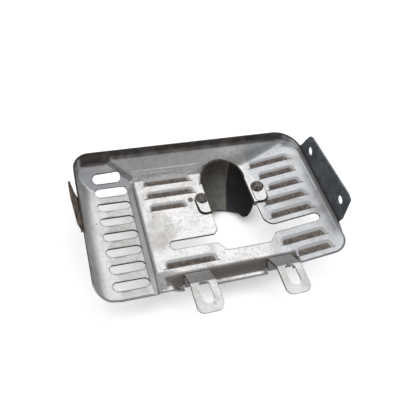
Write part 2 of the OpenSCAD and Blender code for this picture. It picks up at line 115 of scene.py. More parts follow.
offset = [(AIM_PX[0] - IMAGE / 2) / FOCAL_PX, (AIM_PX[1] - IMAGE / 2) / FOCAL_PX, 1.0]
eye = -DISTANCE * (offset[0] * RIGHT + offset[1] * DOWN + offset[2] * AHEAD)
camera = add_object("camera", bpy.data.cameras.new("camera"))
camera.data.sensor_width = SENSOR_MM
camera.data.lens = SENSOR_MM * FOCAL_PX / IMAGE
camera.data.clip_start = 0.01
turn = Matrix([[RIGHT[k], -DOWN[k], -AHEAD[k]] for k in range(3)]).to_4x4()
camera.matrix_world = Matrix.Translation(Vector(to_frame(eye))) @ turn
scene.camera = camera
print("camera at", [round(v, 3) for v in camera.matrix_world.translation])

# %% [markdown]
# The floor of the pan was pressed from one flat sheet, so it can be written as one rule: a
# height for every place. Each face is a plane, and where two planes meet, the press leaves a
# round bend. A plain maximum would give a knife edge. The soft maximum below eases the
# heights over just the width that a bend of the wanted radius needs.

# %% Soft bends between planes
def soft_max(a, b, radius, turn):
    """The higher of two faces. turn is the difference of their slopes."""
    k = radius * turn * turn / 2
    h = np.clip(0.5 + 0.5 * (a - b) / k, 0, 1)
    return b + (a - b) * h + k * h * (1 - h)


def soft_min(a, b, radius, turn):
    return -soft_max(-a, -b, radius, turn)


print("a 2 mm bend clears the corner of slopes 0 and 1 by", float(soft_max(0.0, 0.0, 2.0, 1.0)))

# %% [markdown]
# From left to right the pan has a low strip with slots, a slanting step, a flat floor and a
# lifted right floor. Behind them a band climbs to a ridge and a bevel; in front lies a channel
# for the brackets. Each piece of the rule is one of these forms, and a slope is rise over run.

# %% The pressed floor
# Outer faces of the walls, and the corner radii as seen from above.
LEFT, RIGHT_X, REAR, FRONT = -79.5, 81.9, 40.4, -61.2
CORNER_R, WIDE_R = 11.0, 18.0
# The step, and the strip's two bends to the left and one to the rear.
STEP_X, STEP_SLOPE, STRIP_Z = -42.4, 1.25, -4.0
LEFT_BEND, LEFT_SLOPE, LEFT_BEND2, LEFT_SLOPE2 = -64.0, 0.30, -74.6, 1.3
FACET_Y, FACET_SLOPE = 19.0, 0.47
# The rear bevel, the face that closes it at the left, and its sweep at the right.
FLOOR_REAR, RIDGE_X, RIDGE_Y, RIDGE_Z = 23.4, -42.2, 26.7, 4.2
BEVEL_SLOPE, BAND_SLOPE, RIDGE_BEAD = 0.43, 4.2 / 3.3, 0.32
CLOSE_X, CLOSE_Y = 0.95, 1.46
SWEEP_X, SWEEP_FALL, SWEEP_RISE = 16.0, 0.11, 1.0
# The lifted right floor.
LIFT_X, LIFT_SX, LIFT_SY = 37.2, 0.19, 0.03
# The front channel, and the floor's front left corner, which rolls down to it.
CHANNEL_Y, CHANNEL_Z, CHANNEL_SLOPE = -52.3, -6.0, 1.2
CHANNEL_X0, CHANNEL_X1, CHANNEL_LEFT, CHANNEL_RIGHT = -39.5, 47.5, 0.6, 1.8
CHANNEL_FOOT = CHANNEL_Y + CHANNEL_Z / CHANNEL_SLOPE
ROLL_OFF_Y, ROLL_OFF = -49.0, 0.26
# Inner radii of the usual bends: between two forms, and along the strip's left side.
TIGHT_BEND, CHANNEL_BEND, STRIP_BEND = 1.6, 1.4, 9.0


def lift(x, y):
    return LIFT_SX * (x - LIFT_X) + LIFT_SY * y


def rear_bevel(x, y):
    """The band up from the floor, a bead along the ridge and the bevel behind it."""
    bevel = RIDGE_Z + BEVEL_SLOPE * (y - RIDGE_Y)
    sweep = RIDGE_Z - SWEEP_FALL * (x - SWEEP_X) + SWEEP_RISE * (y - RIDGE_Y)
    close = RIDGE_Z + CLOSE_X * (x - RIDGE_X) + CLOSE_Y * (y - RIDGE_Y)
    band = BAND_SLOPE * (y - FLOOR_REAR)
    crest = np.minimum(band, sweep) - bevel - 0.25
    bead = RIDGE_BEAD * np.exp(-((crest / 0.55) ** 2))
    bevel = bead + soft_min(bevel, band, TIGHT_BEND, BAND_SLOPE - BEVEL_SLOPE)
    bevel = soft_min(bevel, sweep, 12.0, 0.6)
    return soft_min(bevel, close, 0.8, 1.4)


def left_strip(x, y):
    rising = STRIP_Z - LEFT_SLOPE * (x - LEFT_BEND)
    strip = soft_max(STRIP_Z + 0 * x, rising, STRIP_BEND, LEFT_SLOPE)
    steep = STRIP_Z - LEFT_SLOPE * (LEFT_BEND2 - LEFT_BEND) - LEFT_SLOPE2 * (x - LEFT_BEND2)
    strip = soft_max(strip, steep, STRIP_BEND, LEFT_SLOPE2 - LEFT_SLOPE)
    return soft_max(strip, STRIP_Z + FACET_SLOPE * (y - FACET_Y), 3.0, 0.55)


def front_channel(x, y):
    wall = CHANNEL_SLOPE * (y - CHANNEL_Y)
    channel = soft_max(CHANNEL_Z + 0 * x, wall, CHANNEL_BEND, CHANNEL_SLOPE)
    ends = np.maximum((CHANNEL_X0 - x) * CHANNEL_LEFT, (x - CHANNEL_X1) * CHANNEL_RIGHT)
    return soft_max(channel, ends, CHANNEL_BEND, CHANNEL_SLOPE)


def pressed(x, y):
    """Height of the pan's hollow side, in millimetres, without louvers and dent."""
    ground = soft_min(0 * x, STEP_SLOPE * (x - STEP_X), 2.0, STEP_SLOPE)
    ground = soft_max(ground, rear_bevel(x, y), TIGHT_BEND, BAND_SLOPE)
    lift_bend = 8.0 + 110.0 * np.clip((y - 15.0) / 12.0, 0, 1)
    ground = soft_max(ground, lift(x, y), lift_bend, 0.2)
    ground = soft_max(ground, left_strip(x, y), TIGHT_BEND, STEP_SLOPE)
    corner = np.clip((-26.0 - x) / 10.0, 0, 1) * np.clip((x - STEP_X + 4.0) / 3.0, 0, 1)
    ground = ground - corner * ROLL_OFF * np.maximum(ROLL_OFF_Y - y, 0)
    return soft_min(ground, front_channel(x, y), 1.8, CHANNEL_SLOPE)


print("strip height at its middle:", round(float(pressed(np.array(-57.0), np.array(0.0))), 3))

# %% [markdown]
# A louver is pressed and cut in one stroke. Its front edge is sheared straight and drops below
# the floor, while its rear and both ends are drawn round into the sheet. The depth of the hood
# is one rule on the distance from its drawn edge: a wide roll, a steep wall, a flat bottom.

# %% Louvers and dent
LOUVER_W, LOUVER_DEPTH = 6.4, 3.8
LOUVER_CORNER, LOUVER_ROLL, LOUVER_TURN = 4.2, 2.5, math.radians(54)
# Each bank: left end, right end, middle of its first louver, and pitch.
LEFT_BANK = (-36.9, -2.0, 21.0, 10.7)
RIGHT_BANK = (41.0, 72.6, -54.6, 11.1)
FRONT_LOUVER_Y = -44.5
# Beside the deflector some louvers are shorter.
SHORT_LEFT, SHORT_RIGHT = 8.0, 6.5


def louver_places():
    """Left end, right end and front edge of every louver."""
    x0, x1, y, pitch = LEFT_BANK
    for k in range(3):
        yield x0, x1 - (SHORT_LEFT if k == 2 else 0), y - k * pitch - LOUVER_W / 2
    yield x0, x1, FRONT_LOUVER_Y - LOUVER_W / 2
    x0, x1, y, pitch = RIGHT_BANK
    for k, short in ((0, 1), (1, 0), (3, 0), (4, 0), (5, 1), (6, 0.5), (7, 0)):
        closer = {0: 1.5, 1: 0.6}.get(k, 0.0)
        yield x0 + short * SHORT_RIGHT, x1, y + k * pitch + closer - LOUVER_W / 2


LOUVERS = list(louver_places())


def hood(x, y, place):
    """How far a louver's hood lies below the sheet, for points behind its front edge."""
    x0, x1, front = place
    side = np.minimum(x - x0, x1 - x)
    back = front + LOUVER_W - y
    c = LOUVER_CORNER
    round_corner = c - np.hypot(c - side, c - back)
    away = np.where((side < c) & (back < c), round_corner, np.minimum(side, back))
    away = np.maximum(away, 0)
    roll = LOUVER_ROLL * math.sin(LOUVER_TURN)
    drop = LOUVER_ROLL * (1 - math.cos(LOUVER_TURN))
    curve = LOUVER_ROLL - np.sqrt(LOUVER_ROLL**2 - np.minimum(away, roll) ** 2)
    slope = math.tan(LOUVER_TURN)
    wall = drop + slope * (away - roll)
    depth = np.where(away < roll, curve, wall)
    return -soft_min(depth, LOUVER_DEPTH + 0 * depth, 1.2, slope)


# A round dent beside the left rivet: place, radius and depth.
DENT = (-7.6, 1.4, 2.3, 1.2)


def dent(x, y):
    d = np.hypot(x - DENT[0], y - DENT[1]) / DENT[2]
    return -DENT[3] * np.clip(1 - d * d, 0, 1) ** 2


print("louvers:", len(LOUVERS))

# %% [markdown]
# The outline is four arcs joined by straight walls. Every ring of the wall uses the same list
# of directions, set in by its own amount, so that rings can be joined point by point.

# %% Outline of the pan
BRACKET_X, BRACKET_HALF, NOTCH_GAP = (-18.6, 35.6), 7.95, 0.6
NOTCH_Y = CHANNEL_FOOT + 0.2
CORNERS = np.array([
    (LEFT + CORNER_R, FRONT + CORNER_R, CORNER_R),
    (RIGHT_X - CORNER_R, FRONT + CORNER_R, CORNER_R),
    (RIGHT_X - WIDE_R, REAR - WIDE_R, WIDE_R),
    (LEFT + CORNER_R, REAR - CORNER_R, CORNER_R)])


def wall_normal(p, q):
    """Outward direction of the straight wall between two corners."""
    d = q[:2] - p[:2]
    size = np.hypot(*d)
    u = (p[2] - q[2]) / size
    v = math.sqrt(1 - u * u)
    return np.array([u * d[0] + v * d[1], u * d[1] - v * d[0]]) / size


def outline_rule(spacing):
    """Centre, radius and direction of every outline point, counter-clockwise."""
    ends = np.roll(CORNERS, -1, axis=0)
    normals = [wall_normal(p, q) for p, q in zip(CORNERS, ends)]
    rule = []
    for k, (p, q, n) in enumerate(zip(CORNERS, ends, normals)):
        count = math.ceil(np.hypot(*(q - p)[:2]) / spacing)
        steps = {i / count for i in range(count)}
        if k == 0:
            notch_x = [bx + s * (BRACKET_HALF + NOTCH_GAP) for bx in BRACKET_X for s in (-1, 1)]
            steps |= {(x - p[0]) / (q[0] - p[0]) for x in notch_x}
        rule += [(*(p + t * (q - p)), *n) for t in sorted(steps)]
        a0, a1 = [math.atan2(m[1], m[0]) for m in (n, normals[(k + 1) % 4])]
        sweep = (a1 - a0) % (2 * math.pi)
        count = math.ceil(q[2] * sweep / spacing)
        angles = [a0 + sweep * i / count for i in range(count)]
        rule += [(*q, math.cos(a), math.sin(a)) for a in angles]
    return np.array(rule)


RULE = outline_rule(1.1)
FRONT_LIP = 0.35
# The trim line: its heights at the rear and the front, and how far it drops before the front.
RIM_REAR, RIM_FRONT, RIM_DROP, RIM_DROP_Y = 15.0, -1.4, 8.0, -50.0
# The right wall above the lifted floor: its height, its height at the front, and where it ends.
SIDE_WALL, SIDE_FRONT, SIDE_FRONT_Y, SIDE_START, SIDE_DROP = 2.6, 0.4, -38.0, 10.3, 9.0


def ring(inset):
    """Outline points, set in by a number or by one number for each point."""
    reach = (RULE[:, 2] - inset)[:, None]
    return RULE[:, :2] + reach * RULE[:, 3:5]


def rim_height(x, y):
    """Where the press cut the rim off: high at the rear, a low lip at the front."""
    slope = (RIM_REAR - RIM_FRONT) / (REAR - FRONT)
    plain = RIM_REAR + slope * (y - REAR) - RIM_DROP * np.clip((RIM_DROP_Y - y) / 6.0, 0, 1)
    wall = SIDE_WALL - (SIDE_WALL - SIDE_FRONT) * np.clip((SIDE_FRONT_Y - y) / 10.0, 0, 1)
    right = np.minimum(wall + lift(x, y), RIM_REAR)
    right = right - SIDE_DROP * np.clip((LIFT_X + SIDE_START - x) / 4, 0, 1)
    return np.maximum(np.maximum(plain, right), pressed(x, y) + FRONT_LIP)


print("outline points:", len(RULE))

# %% [markdown]
# Holes are cut before the sheet is bent. Each is a closed line of points in the drawing: the
# slots are two half circles, and the big window is a polygon with arms and rounded corners.

# %% Hole outlines
def arc_points(cx, cy, r, a0, a1, count):
    return [(cx + r * math.cos(math.radians(a0 + (a1 - a0) * i / count)),
             cy + r * math.sin(math.radians(a0 + (a1 - a0) * i / count))) for i in range(count + 1)]


def slot_points(x0, x1, y, width):
    r = width / 2
    return arc_points(x1 - r, y, r, -90, 90, 14) + arc_points(x0 + r, y, r, 90, 270, 14)


def rounded(points, radii, count=5):
    """A polygon with its corners replaced by arcs."""
    out = []
    for i, p in enumerate(points):
        p = np.array(p, float)
        a = np.array(points[i - 1], float) - p
        b = np.array(points[(i + 1) % len(points)], float) - p
        a, b = a / np.hypot(*a), b / np.hypot(*b)
        half = math.acos(np.clip(a @ b, -1, 1)) / 2
        r = radii[i]
        if r <= 0:
            out.append(tuple(p))
            continue
        reach = r / math.tan(half)
        centre = p + (a + b) / np.hypot(*(a + b)) * r / math.sin(half)
        s, e = p + a * reach - centre, p + b * reach - centre
        a0, a1 = math.atan2(s[1], s[0]), math.atan2(e[1], e[0])
        d = (a1 - a0 + math.pi) % (2 * math.pi) - math.pi
        out += arc_points(*centre, r, math.degrees(a0), math.degrees(a0 + d), count)
    return out


SLOTS, SLOT_LEN, SLOT_W, SLOT_X, SLOT_Y, SLOT_PITCH = 8, 21.4, 6.2, -57.3, -51.3, 11.8
# The rearmost slot is shorter and stands closer to its neighbour.
LAST_SHORTER, LAST_CLOSER = 3.0, 2.4
# The scoop's middle and inner radius; the window runs round it with a little play.
SCOOP_X, SCOOP_Y, SCOOP_R = 19.2, 12.5, 15.0
WINDOW_R = SCOOP_R + SCOOP_THICK + 0.4
ARM_Y, ARM_W, ARM_X0, ARM_X1 = -32.0, 6.4, -29.4, 72.5
OPEN_X0, OPEN_X1, OPEN_Y, OPEN_CUT, OPEN_CUT_R = 3.6, 36.6, -41.8, 3.2, 4.4


def window_points():
    lo, hi, r = ARM_Y - ARM_W / 2, ARM_Y + ARM_W / 2, ARM_W / 2
    left = arc_points(ARM_X0 + r, ARM_Y, r, 90, 270, 12)
    right = arc_points(ARM_X1 - r, ARM_Y, r, -90, 90, 12)
    front = rounded([left[-1], (OPEN_X0 - OPEN_CUT, lo), (OPEN_X0 + OPEN_CUT / 2, OPEN_Y),
                     (OPEN_X1 - OPEN_CUT / 2, OPEN_Y), (OPEN_X1 + OPEN_CUT_R, lo), right[0]],
                    [0, 2.5, 1.0, 2.0, 2.5, 0])
    rear = rounded([right[-1], (OPEN_X1 + OPEN_CUT_R, hi), (OPEN_X1, hi + OPEN_CUT_R),
                    (OPEN_X1, SCOOP_Y), (OPEN_X0, SCOOP_Y), (OPEN_X0, hi + OPEN_CUT),
                    (OPEN_X0 - OPEN_CUT, hi), left[0]], [0, 6.0, 6.0, 0, 0, 1.6, 1.6, 0])
    top = arc_points(SCOOP_X, SCOOP_Y, WINDOW_R, 0, 180, 40)
    cut = [i for i, p in enumerate(rear) if p == (OPEN_X1, SCOOP_Y)][0]
    return left[:-1] + front[:-1] + right + rear[1:cut] + top + rear[cut + 2:-1]


HOLES = [window_points()]
for k in range(SLOTS):
    last = k == SLOTS - 1
    y = SLOT_Y + k * SLOT_PITCH - LAST_CLOSER * last
    x0 = SLOT_X - SLOT_LEN / 2
    HOLES.append(slot_points(x0, x0 + SLOT_LEN - LAST_SHORTER * last, y, SLOT_W))
for bx in BRACKET_X:
    half = BRACKET_HALF + NOTCH_GAP
    HOLES.append([(bx - half, FRONT - 3), (bx + half, FRONT - 3), (bx + half, NOTCH_Y),
                  (bx - half, NOTCH_Y)])
print("holes:", len(HOLES))

# %% [markdown]
# The flat pattern is filled with points: an even grid on the floor, and round each louver
# nested lines that follow its drawn edge, because the sheet turns sharply there and a grid
# would leave a jagged rim. Points too close to a cut would make needles and are dropped.

# %% Points on the flat pattern
WALL_BEND = 1.9
GRID = 0.85


def inside(points, loop):
    """Which points lie inside a closed line."""
    x, y = points[:, 0], points[:, 1]
    loop = np.asarray(loop)
    result = np.zeros(len(points), bool)
    for (x0, y0), (x1, y1) in zip(loop, np.roll(loop, -1, axis=0)):
        cross = (y0 > y) != (y1 > y)
        at = x0 + (y - y0) * (x1 - x0) / (y1 - y0 if y1 != y0 else 1e-12)
        result ^= cross & (x < at)
    return result


def near_louver(points, place, beside, ahead):
    """Which points lie in a louver, up to 1 mm behind it, or this far beside or ahead of it."""
    x0, x1, front = place
    x, y = points[:, 0], points[:, 1]
    near = (x > x0 - beside) & (x < x1 + beside)
    return near & (y > front - ahead) & (y < front + LOUVER_W + 1)


LOUVER_LINES = (-0.9, -0.4, 0.0, 0.4, 0.8, 1.2, 1.6, 2.0, 2.5, 3.1, 3.9, 4.8)


def louver_line(place, away):
    """Points round a louver, all of them as far inside its drawn edge as away says."""
    x0, x1, front = place
    r = max(LOUVER_CORNER - away, 0.01)
    back, low = front + LOUVER_W - LOUVER_CORNER, front + 0.35
    inset = min(LOUVER_CORNER, (x1 - x0) / 2) if away < LOUVER_CORNER else away
    back = back if away < LOUVER_CORNER else front + LOUVER_W - away
    left = arc_points(x0 + inset, back, r, 180, 90, 7)
    right = arc_points(x1 - inset, back, r, 90, 0, 7)
    line = [(left[0][0], low)] + left + right + [(right[-1][0], low)]
    points = []
    for (ax, ay), (bx, by) in zip(line, line[1:]):
        count = max(1, round(math.hypot(bx - ax, by - ay) / 0.5))
        points += [(ax + (bx - ax) * i / count, ay + (by - ay) * i / count) for i in range(count)]
    return np.array(points + [line[-1]])


def grid_points(low, high, gap, stagger=0.0):
    """An even grid. Every second row may be shifted, which gives rounder triangles."""
    gx, gy = np.meshgrid(np.arange(low[0], high[0], gap), np.arange(low[1], high[1], gap))
    gx = gx + (np.arange(len(gy)) % 2 * stagger)[:, None]
    return np.stack([gx.ravel(), gy.ravel()], 1)


def fill_points(inner):
    coarse = grid_points((LEFT, FRONT), (RIGHT_X, REAR), GRID, GRID / 2)
    parts = []
    for place in LOUVERS:
        coarse = coarse[~near_louver(coarse, place, 1.6, 0.6)]
        parts += [louver_line(place, away) for away in LOUVER_LINES]
    points = np.vstack([coarse] + parts)
    keep = inside(points, inner)
    for loop in HOLES:
        keep &= ~inside(points, loop)
    return points[keep]


def clear_of(points, loops, gap):
    """The points that keep at least this gap from every cut line."""
    keep = np.ones(len(points), bool)
    for loop in loops:
        a = np.asarray(loop, float)
        for p, q in zip(a, np.roll(a, -1, axis=0)):
            low, high = np.minimum(p, q) - gap, np.maximum(p, q) + gap
            close = np.flatnonzero(keep & np.all((points > low) & (points < high), axis=1))
            from_p = points[close] - p
            t = np.clip(from_p @ (q - p) / max(float((q - p) @ (q - p)), 1e-12), 0, 1)
            away = np.hypot(*(from_p - t[:, None] * (q - p)).T)
            keep[close[away < gap]] = False
    return points[keep]


inner_ring = ring(PAN_THICK + WALL_BEND)
fill = clear_of(fill_points(inner_ring), [inner_ring] + HOLES, 0.32)
cuts = []
for x0, x1, front in LOUVERS:
    count = math.ceil((x1 - x0 + 2) / 0.7)
    cuts.append([(x0 - 1 + (x1 - x0 + 2) * i / count, front) for i in range(count + 1)])
    close = (fill[:, 0] > x0 - 1.3) & (fill[:, 0] < x1 + 1.3) & (abs(fill[:, 1] - front) < 0.3)
    fill = fill[~close]
print("points inside the outline:", len(fill))

# %% [markdown]
# A Delaunay triangulation joins the points and keeps every cut line as an edge. Each corner is
# then lifted to its height. A louver's front edge exists twice, once on the floor and once on
# the lip of its hood: that is what makes it a cut and not a fold. A louver that was copied in
# as a piece of its own would leave a seam, so the louvers are not instances.

# %% Triangles of the floor
def triangulate(outer, holes, lines, fill):
    """Flat points and counter-clockwise triangles between a closed line and its holes."""
    points, edges = [], []
    closed = [outer] + holes
    for k, line in enumerate(closed + lines):
        first, count = len(points), len(line)
        points += [Vector(p) for p in line]
        sides = count if k < len(closed) else count - 1
        edges += [(first + i, first + (i + 1) % count) for i in range(sides)]
    points += [Vector(p) for p in fill]
    verts, _, faces, *_ = delaunay_2d_cdt(points, edges, [], 0, 1e-5)
    flat = np.array([tuple(v) for v in verts])
    tris = np.array([f for f in faces if len(f) == 3])
    middle = flat[tris].mean(axis=1)
    keep = inside(middle, outer)
    for loop in holes:
        keep &= ~inside(middle, loop)
    tris = tris[keep]
    a, b, c = flat[tris[:, 0]], flat[tris[:, 1]], flat[tris[:, 2]]
    area = (b - a)[:, 0] * (c - a)[:, 1] - (b - a)[:, 1] * (c - a)[:, 0]
    tris[area < 0] = tris[area < 0][:, ::-1]
    return flat, tris[abs(area) > 1e-7]


flat, tris = triangulate(inner_ring, HOLES, cuts, fill)
print("floor: points", len(flat), "triangles", len(tris))

# %% Heights, cut lips and the sheet's upper face
height = pressed(flat[:, 0], flat[:, 1]) + dent(flat[:, 0], flat[:, 1])
upper = np.column_stack([flat, height])
middle = flat[tris].mean(axis=1)
for place in LOUVERS:
    front = place[2]
    drop = hood(flat[:, 0], flat[:, 1], place)
    on_line = (abs(flat[:, 1] - front) < 2e-5) & (drop < -0.03)
    zone = (flat[:, 1] > front + 2e-5) & (drop < 0)
    upper[: len(flat), 2][zone] += drop[zone]
    copy_of = np.full(len(upper), -1)
    line = np.flatnonzero(on_line)
    copy_of[line] = len(upper) + np.arange(len(line))
    lip = upper[line].copy()
    lip[:, 2] += drop[line]
    upper = np.vstack([upper, lip])
    rows = np.flatnonzero(near_louver(middle, place, 2.0, 0.0))
    swap = copy_of[tris[rows]]
    tris[rows] = np.where(swap >= 0, swap, tris[rows])
print("upper face: points", len(upper))

# %% [markdown]
# The wall grows out of the floor's edge as a set of rings: round the bend first, then straight
# up to the line where the rim was trimmed. Where the rim is low, the bend gets tighter.

# %% Wall rings
BEND_RINGS, WALL_RINGS = 6, 4


def wall_rings():
    foot = ring(PAN_THICK)
    top = np.maximum(rim_height(*foot.T), pressed(*foot.T))
    room = top - pressed(*foot.T)
    radius = np.clip(room, 0.05, WALL_BEND)
    rings = []
    for j in range(1, BEND_RINGS + 1):
        t = j / BEND_RINGS
        turn = math.pi / 2 * t
        inset = PAN_THICK + radius * (1 - math.sin(turn)) + (WALL_BEND - radius) * (1 - t) ** 2
        at = ring(inset)
        z = pressed(*at.T) + radius * (1 - math.cos(turn))
        rings.append(np.column_stack([at, np.minimum(z, np.maximum(top, pressed(*at.T)))]))
    last = rings[-1]
    for j in range(1, WALL_RINGS + 1):
        t = j / WALL_RINGS
        rings.append(np.column_stack([foot, last[:, 2] * (1 - t) + top * t]))
    return rings


def join_wall(upper, tris):
    """Adds the rings to the floor, whose own edge points are found by their place."""
    before = np.array([np.argmin(np.hypot(*(flat - p).T)) for p in inner_ring])
    middle = (inner_ring + np.roll(inner_ring, -1, axis=0)) / 2
    here = np.flatnonzero(~inside(middle, HOLES[-2]) & ~inside(middle, HOLES[-1]))
    there = (here + 1) % len(inner_ring)
    parts, faces, total = [upper], [tris], len(upper)
    for points in wall_rings():
        now = total + np.arange(len(points))
        quads = [before[here], now[here], now[there], before[here], now[there], before[there]]
        parts.append(points)
        faces.append(np.stack(quads, 1).reshape(-1, 3))
        before, total = now, total + len(points)
    return np.vstack(parts), np.vstack(faces)


upper, tris = join_wall(upper, tris)
used = np.unique(tris)
index = np.full(len(upper), -1)
index[used] = np.arange(len(used))
upper, tris = upper[used], index[tris]
print("with walls: points", len(upper), "triangles", len(tris))

# %% [markdown]
# A sheet has the same thickness everywhere, so its lower face is the upper one moved back
# along its own normals. The two faces are closed by a narrow band along every cut, which gets
# a finish of its own, because sheared steel rusts first.

# %% Thickness and cut edges
def point_normals(points, faces):
    """The normal of every point: its triangles' normals, weighted by their angles there."""
    corners = points[faces]
    cross = np.cross(corners[:, 1] - corners[:, 0], corners[:, 2] - corners[:, 0])
    size = np.linalg.norm(cross, axis=1)
    unit = cross / np.maximum(size, 1e-12)[:, None]
    unit[size < 1e-12] = 0
    total = np.zeros_like(points)
    for k in range(3):
        u, v = [corners[:, (k + j) % 3] - corners[:, k] for j in (1, 2)]
        reach = np.linalg.norm(u, axis=1) * np.linalg.norm(v, axis=1)
        cos = np.sum(u * v, axis=1) / np.maximum(reach, 1e-12)
        np.add.at(total, faces[:, k], unit * np.arccos(np.clip(cos, -1, 1))[:, None])
    return total / np.maximum(np.linalg.norm(total, axis=1), 1e-12)[:, None]


def sheet_mesh(name, upper, tris, thickness):
    """A closed sheet. Its cut edges get the second material and an attribute of their own."""
    n = len(upper)
    both = np.vstack([upper, upper - point_normals(upper, tris) * thickness])
    edges = np.vstack([tris[:, [0, 1]], tris[:, [1, 2]], tris[:, [2, 0]]])
    rim = edges[~np.isin(edges @ [n, 1], edges @ [1, n])]
    bands = np.column_stack([rim[:, ::-1], rim + n]).tolist()
    faces = np.vstack([tris, tris[:, ::-1] + n]).tolist()
    mesh = bpy.data.meshes.new(name)
    mesh.from_pydata(to_frame(both).tolist(), [], faces + bands)
    mesh.update()
    mesh.polygons.foreach_set("use_smooth", [True] * len(mesh.polygons))
    mesh.polygons.foreach_set("material_index", [0] * len(faces) + [1] * len(bands))
    rims = np.vstack([rim, rim + n])
    sharp = {frozenset(pair) for pair in rims.tolist()}
    mesh.edges.foreach_set("use_edge_sharp", [frozenset(e.vertices) in sharp for e in mesh.edges])
    on_edge = np.zeros(2 * n, np.float32)
    on_edge[rims.ravel()] = 1.0
    mesh.attributes.new("edge", "FLOAT", "POINT").data.foreach_set("value", on_edge)
    return mesh, len(rim)


pan_mesh, cut_count = sheet_mesh("pan_sheet", upper, tris, PAN_THICK)
pan = add_object("pan_sheet", pan_mesh)
print("pan: triangles", 2 * len(tris) + 2 * cut_count, "cut edges", cut_count)

# %% [markdown]
# The louvers and the dent get soot and painted shade: the deeper below the floor, the more of it. The
# depth of every point is kept on the mesh as an attribute, which the steel's finish reads later.

# %% Soot and painted shade, and the pan in place
depth = np.zeros(len(upper))
for place in LOUVERS:
    near = near_louver(upper, place, 1.0, 2e-5)
    fall = pressed(upper[:, 0], upper[:, 1]) - upper[:, 2]
    depth[near] = np.clip(fall[near] / LOUVER_DEPTH, 0, 1)
# The dent gets the full share of soot and painted shade.
in_dent = np.hypot(upper[:, 0] - DENT[0], upper[:, 1] - DENT[1]) < DENT[2] * 0.8
depth[in_dent] = 1.0
soot_and_shade = pan_mesh.attributes.new("soot_and_shade", "FLOAT", "POINT")
soot_and_shade.data.foreach_set("value", np.concatenate([depth, depth]).astype(np.float32))
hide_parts("pan")
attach(pan, "root")
print("points in soot:", int((depth > 0.3).sum()))

# %% [markdown]
# The deflector is a second pressed sheet. Across, the scoop is a half circle, walked by an
# angle; along, it runs from the slanting mouth to a quarter ball at the rear and then up into
# a collar that fades out towards the ears. The mouth was cut by planes that leave a tongue.

# %% The scoop
COLLAR = 4.4
RIM_ANGLE = 1.5
ACROSS, ALONG, ROUND_ROWS, COLLAR_ROWS = 76, 30, 18, 5
TONGUE = (30.1, -12.6, -9.1)
TONGUE_FALL_X, TONGUE_FALL_Y, TONGUE_RISE = 0.265, 0.733, 2.0
BLUNT_SLOPE, BLUNT_WIDTH, BLUNT_TURN = 0.5, 2.6, 3.0
EAR_FRONT = 11.8


def mouth(x, z):
    """Where the cut of the mouth lies. Its lowest place is the tongue's blunt end."""
    up = z - TONGUE[2]
    behind = TONGUE[1] - (up + TONGUE_FALL_X * (x - TONGUE[0])) / TONGUE_FALL_Y
    left = max(0.0, TONGUE[0] - x)
    blunt = TONGUE[1] + BLUNT_SLOPE * left + BLUNT_TURN * max(0.0, left - BLUNT_WIDTH)
    below = TONGUE[1] + up / TONGUE_RISE
    return max(min(behind, blunt), below, TONGUE[1]) if z < 0 else -EAR_FRONT


def scoop_sheet():
    rows = []
    for i in range(ACROSS + 1):
        angle = math.radians(RIM_ANGLE + (180 - 2 * RIM_ANGLE) * i / ACROSS)
        side, deep = SCOOP_R * math.cos(angle), SCOOP_R * math.sin(angle)
        x, z = SCOOP_X - side, SCOOP_THICK - deep
        y = mouth(x, z)
        row = [(x, y + (SCOOP_Y - y) * j / ALONG, z) for j in range(ALONG)]
        for j in range(ROUND_ROWS + 1):
            turn = math.pi / 2 * j / ROUND_ROWS
            row.append((x, SCOOP_Y + deep * math.sin(turn), SCOOP_THICK - deep * math.cos(turn)))
        top = COLLAR * math.sin(angle) ** 0.6
        row += [(x, SCOOP_Y + deep, SCOOP_THICK + top * (j + 1) / COLLAR_ROWS)
                for j in range(COLLAR_ROWS)]
        rows.append(row)
    wide = len(rows[0])
    faces = []
    for i in range(ACROSS):
        for j in range(wide - 1):
            a, b = i * wide + j, (i + 1) * wide + j
            faces += [(a, b, b + 1), (a, b + 1, a + 1)]
    return np.array(rows).reshape(-1, 3), np.array(faces)


scoop_points, scoop_faces = scoop_sheet()
# The sheet's upper face is the scoop's inside, so the normals have to point into it.
lowest = len(scoop_points) // 2
inward = np.array([SCOOP_X, 0, SCOOP_THICK]) - scoop_points[lowest]
if point_normals(scoop_points, scoop_faces)[lowest] @ inward < 0:
    scoop_faces = scoop_faces[:, ::-1]
print("scoop: points", len(scoop_points))

# %% [markdown]
# The two ears lie on the floor, each round its rivet. They are drawn flat, like the pan, and
# then lifted with the floor, so the right ear leans with the lifted side.

# %% The ears, and the deflector in place
EAR_R, EAR_CORNER, EAR_REAR, EAR_TIP = 4.6, 3.6, 13.4, 3.8
# The ears are placed by their rivets.
EARS = ((0.0, 0.0), (41.2, 2.6))
RIVET_STEP = (*EARS[1], lift(*EARS[1]))


def ear_sheet(place, hand):
    """hand is 1 for the left ear and -1 for the right one."""
    corner = arc_points(0, EAR_CORNER - EAR_FRONT, EAR_CORNER, 270, 180, 8)
    shoulder = arc_points(0, 0, EAR_R, 195, 140, 8)
    inner = abs(place[0] - SCOOP_X) - SCOOP_R - SCOOP_THICK / 2
    rear_end = inner if hand > 0 else inner + 0.4
    loop = [(inner, -EAR_FRONT)] + corner + shoulder
    loop += [(EAR_TIP - 0.4, EAR_REAR), (rear_end, EAR_REAR)]
    loop = [(place[0] + hand * x, place[1] + y) for x, y in loop]
    fill = grid_points(np.min(loop, axis=0), np.max(loop, axis=0), 0.9)
    fill = clear_of(fill[inside(fill, loop)], [loop], 0.4)
    flat, tris = triangulate(loop, [], [], fill)
    height = soft_max(0 * flat[:, 0], lift(flat[:, 0], flat[:, 1]), 8.0, 0.2) + SCOOP_THICK
    return np.column_stack([flat, height]), tris


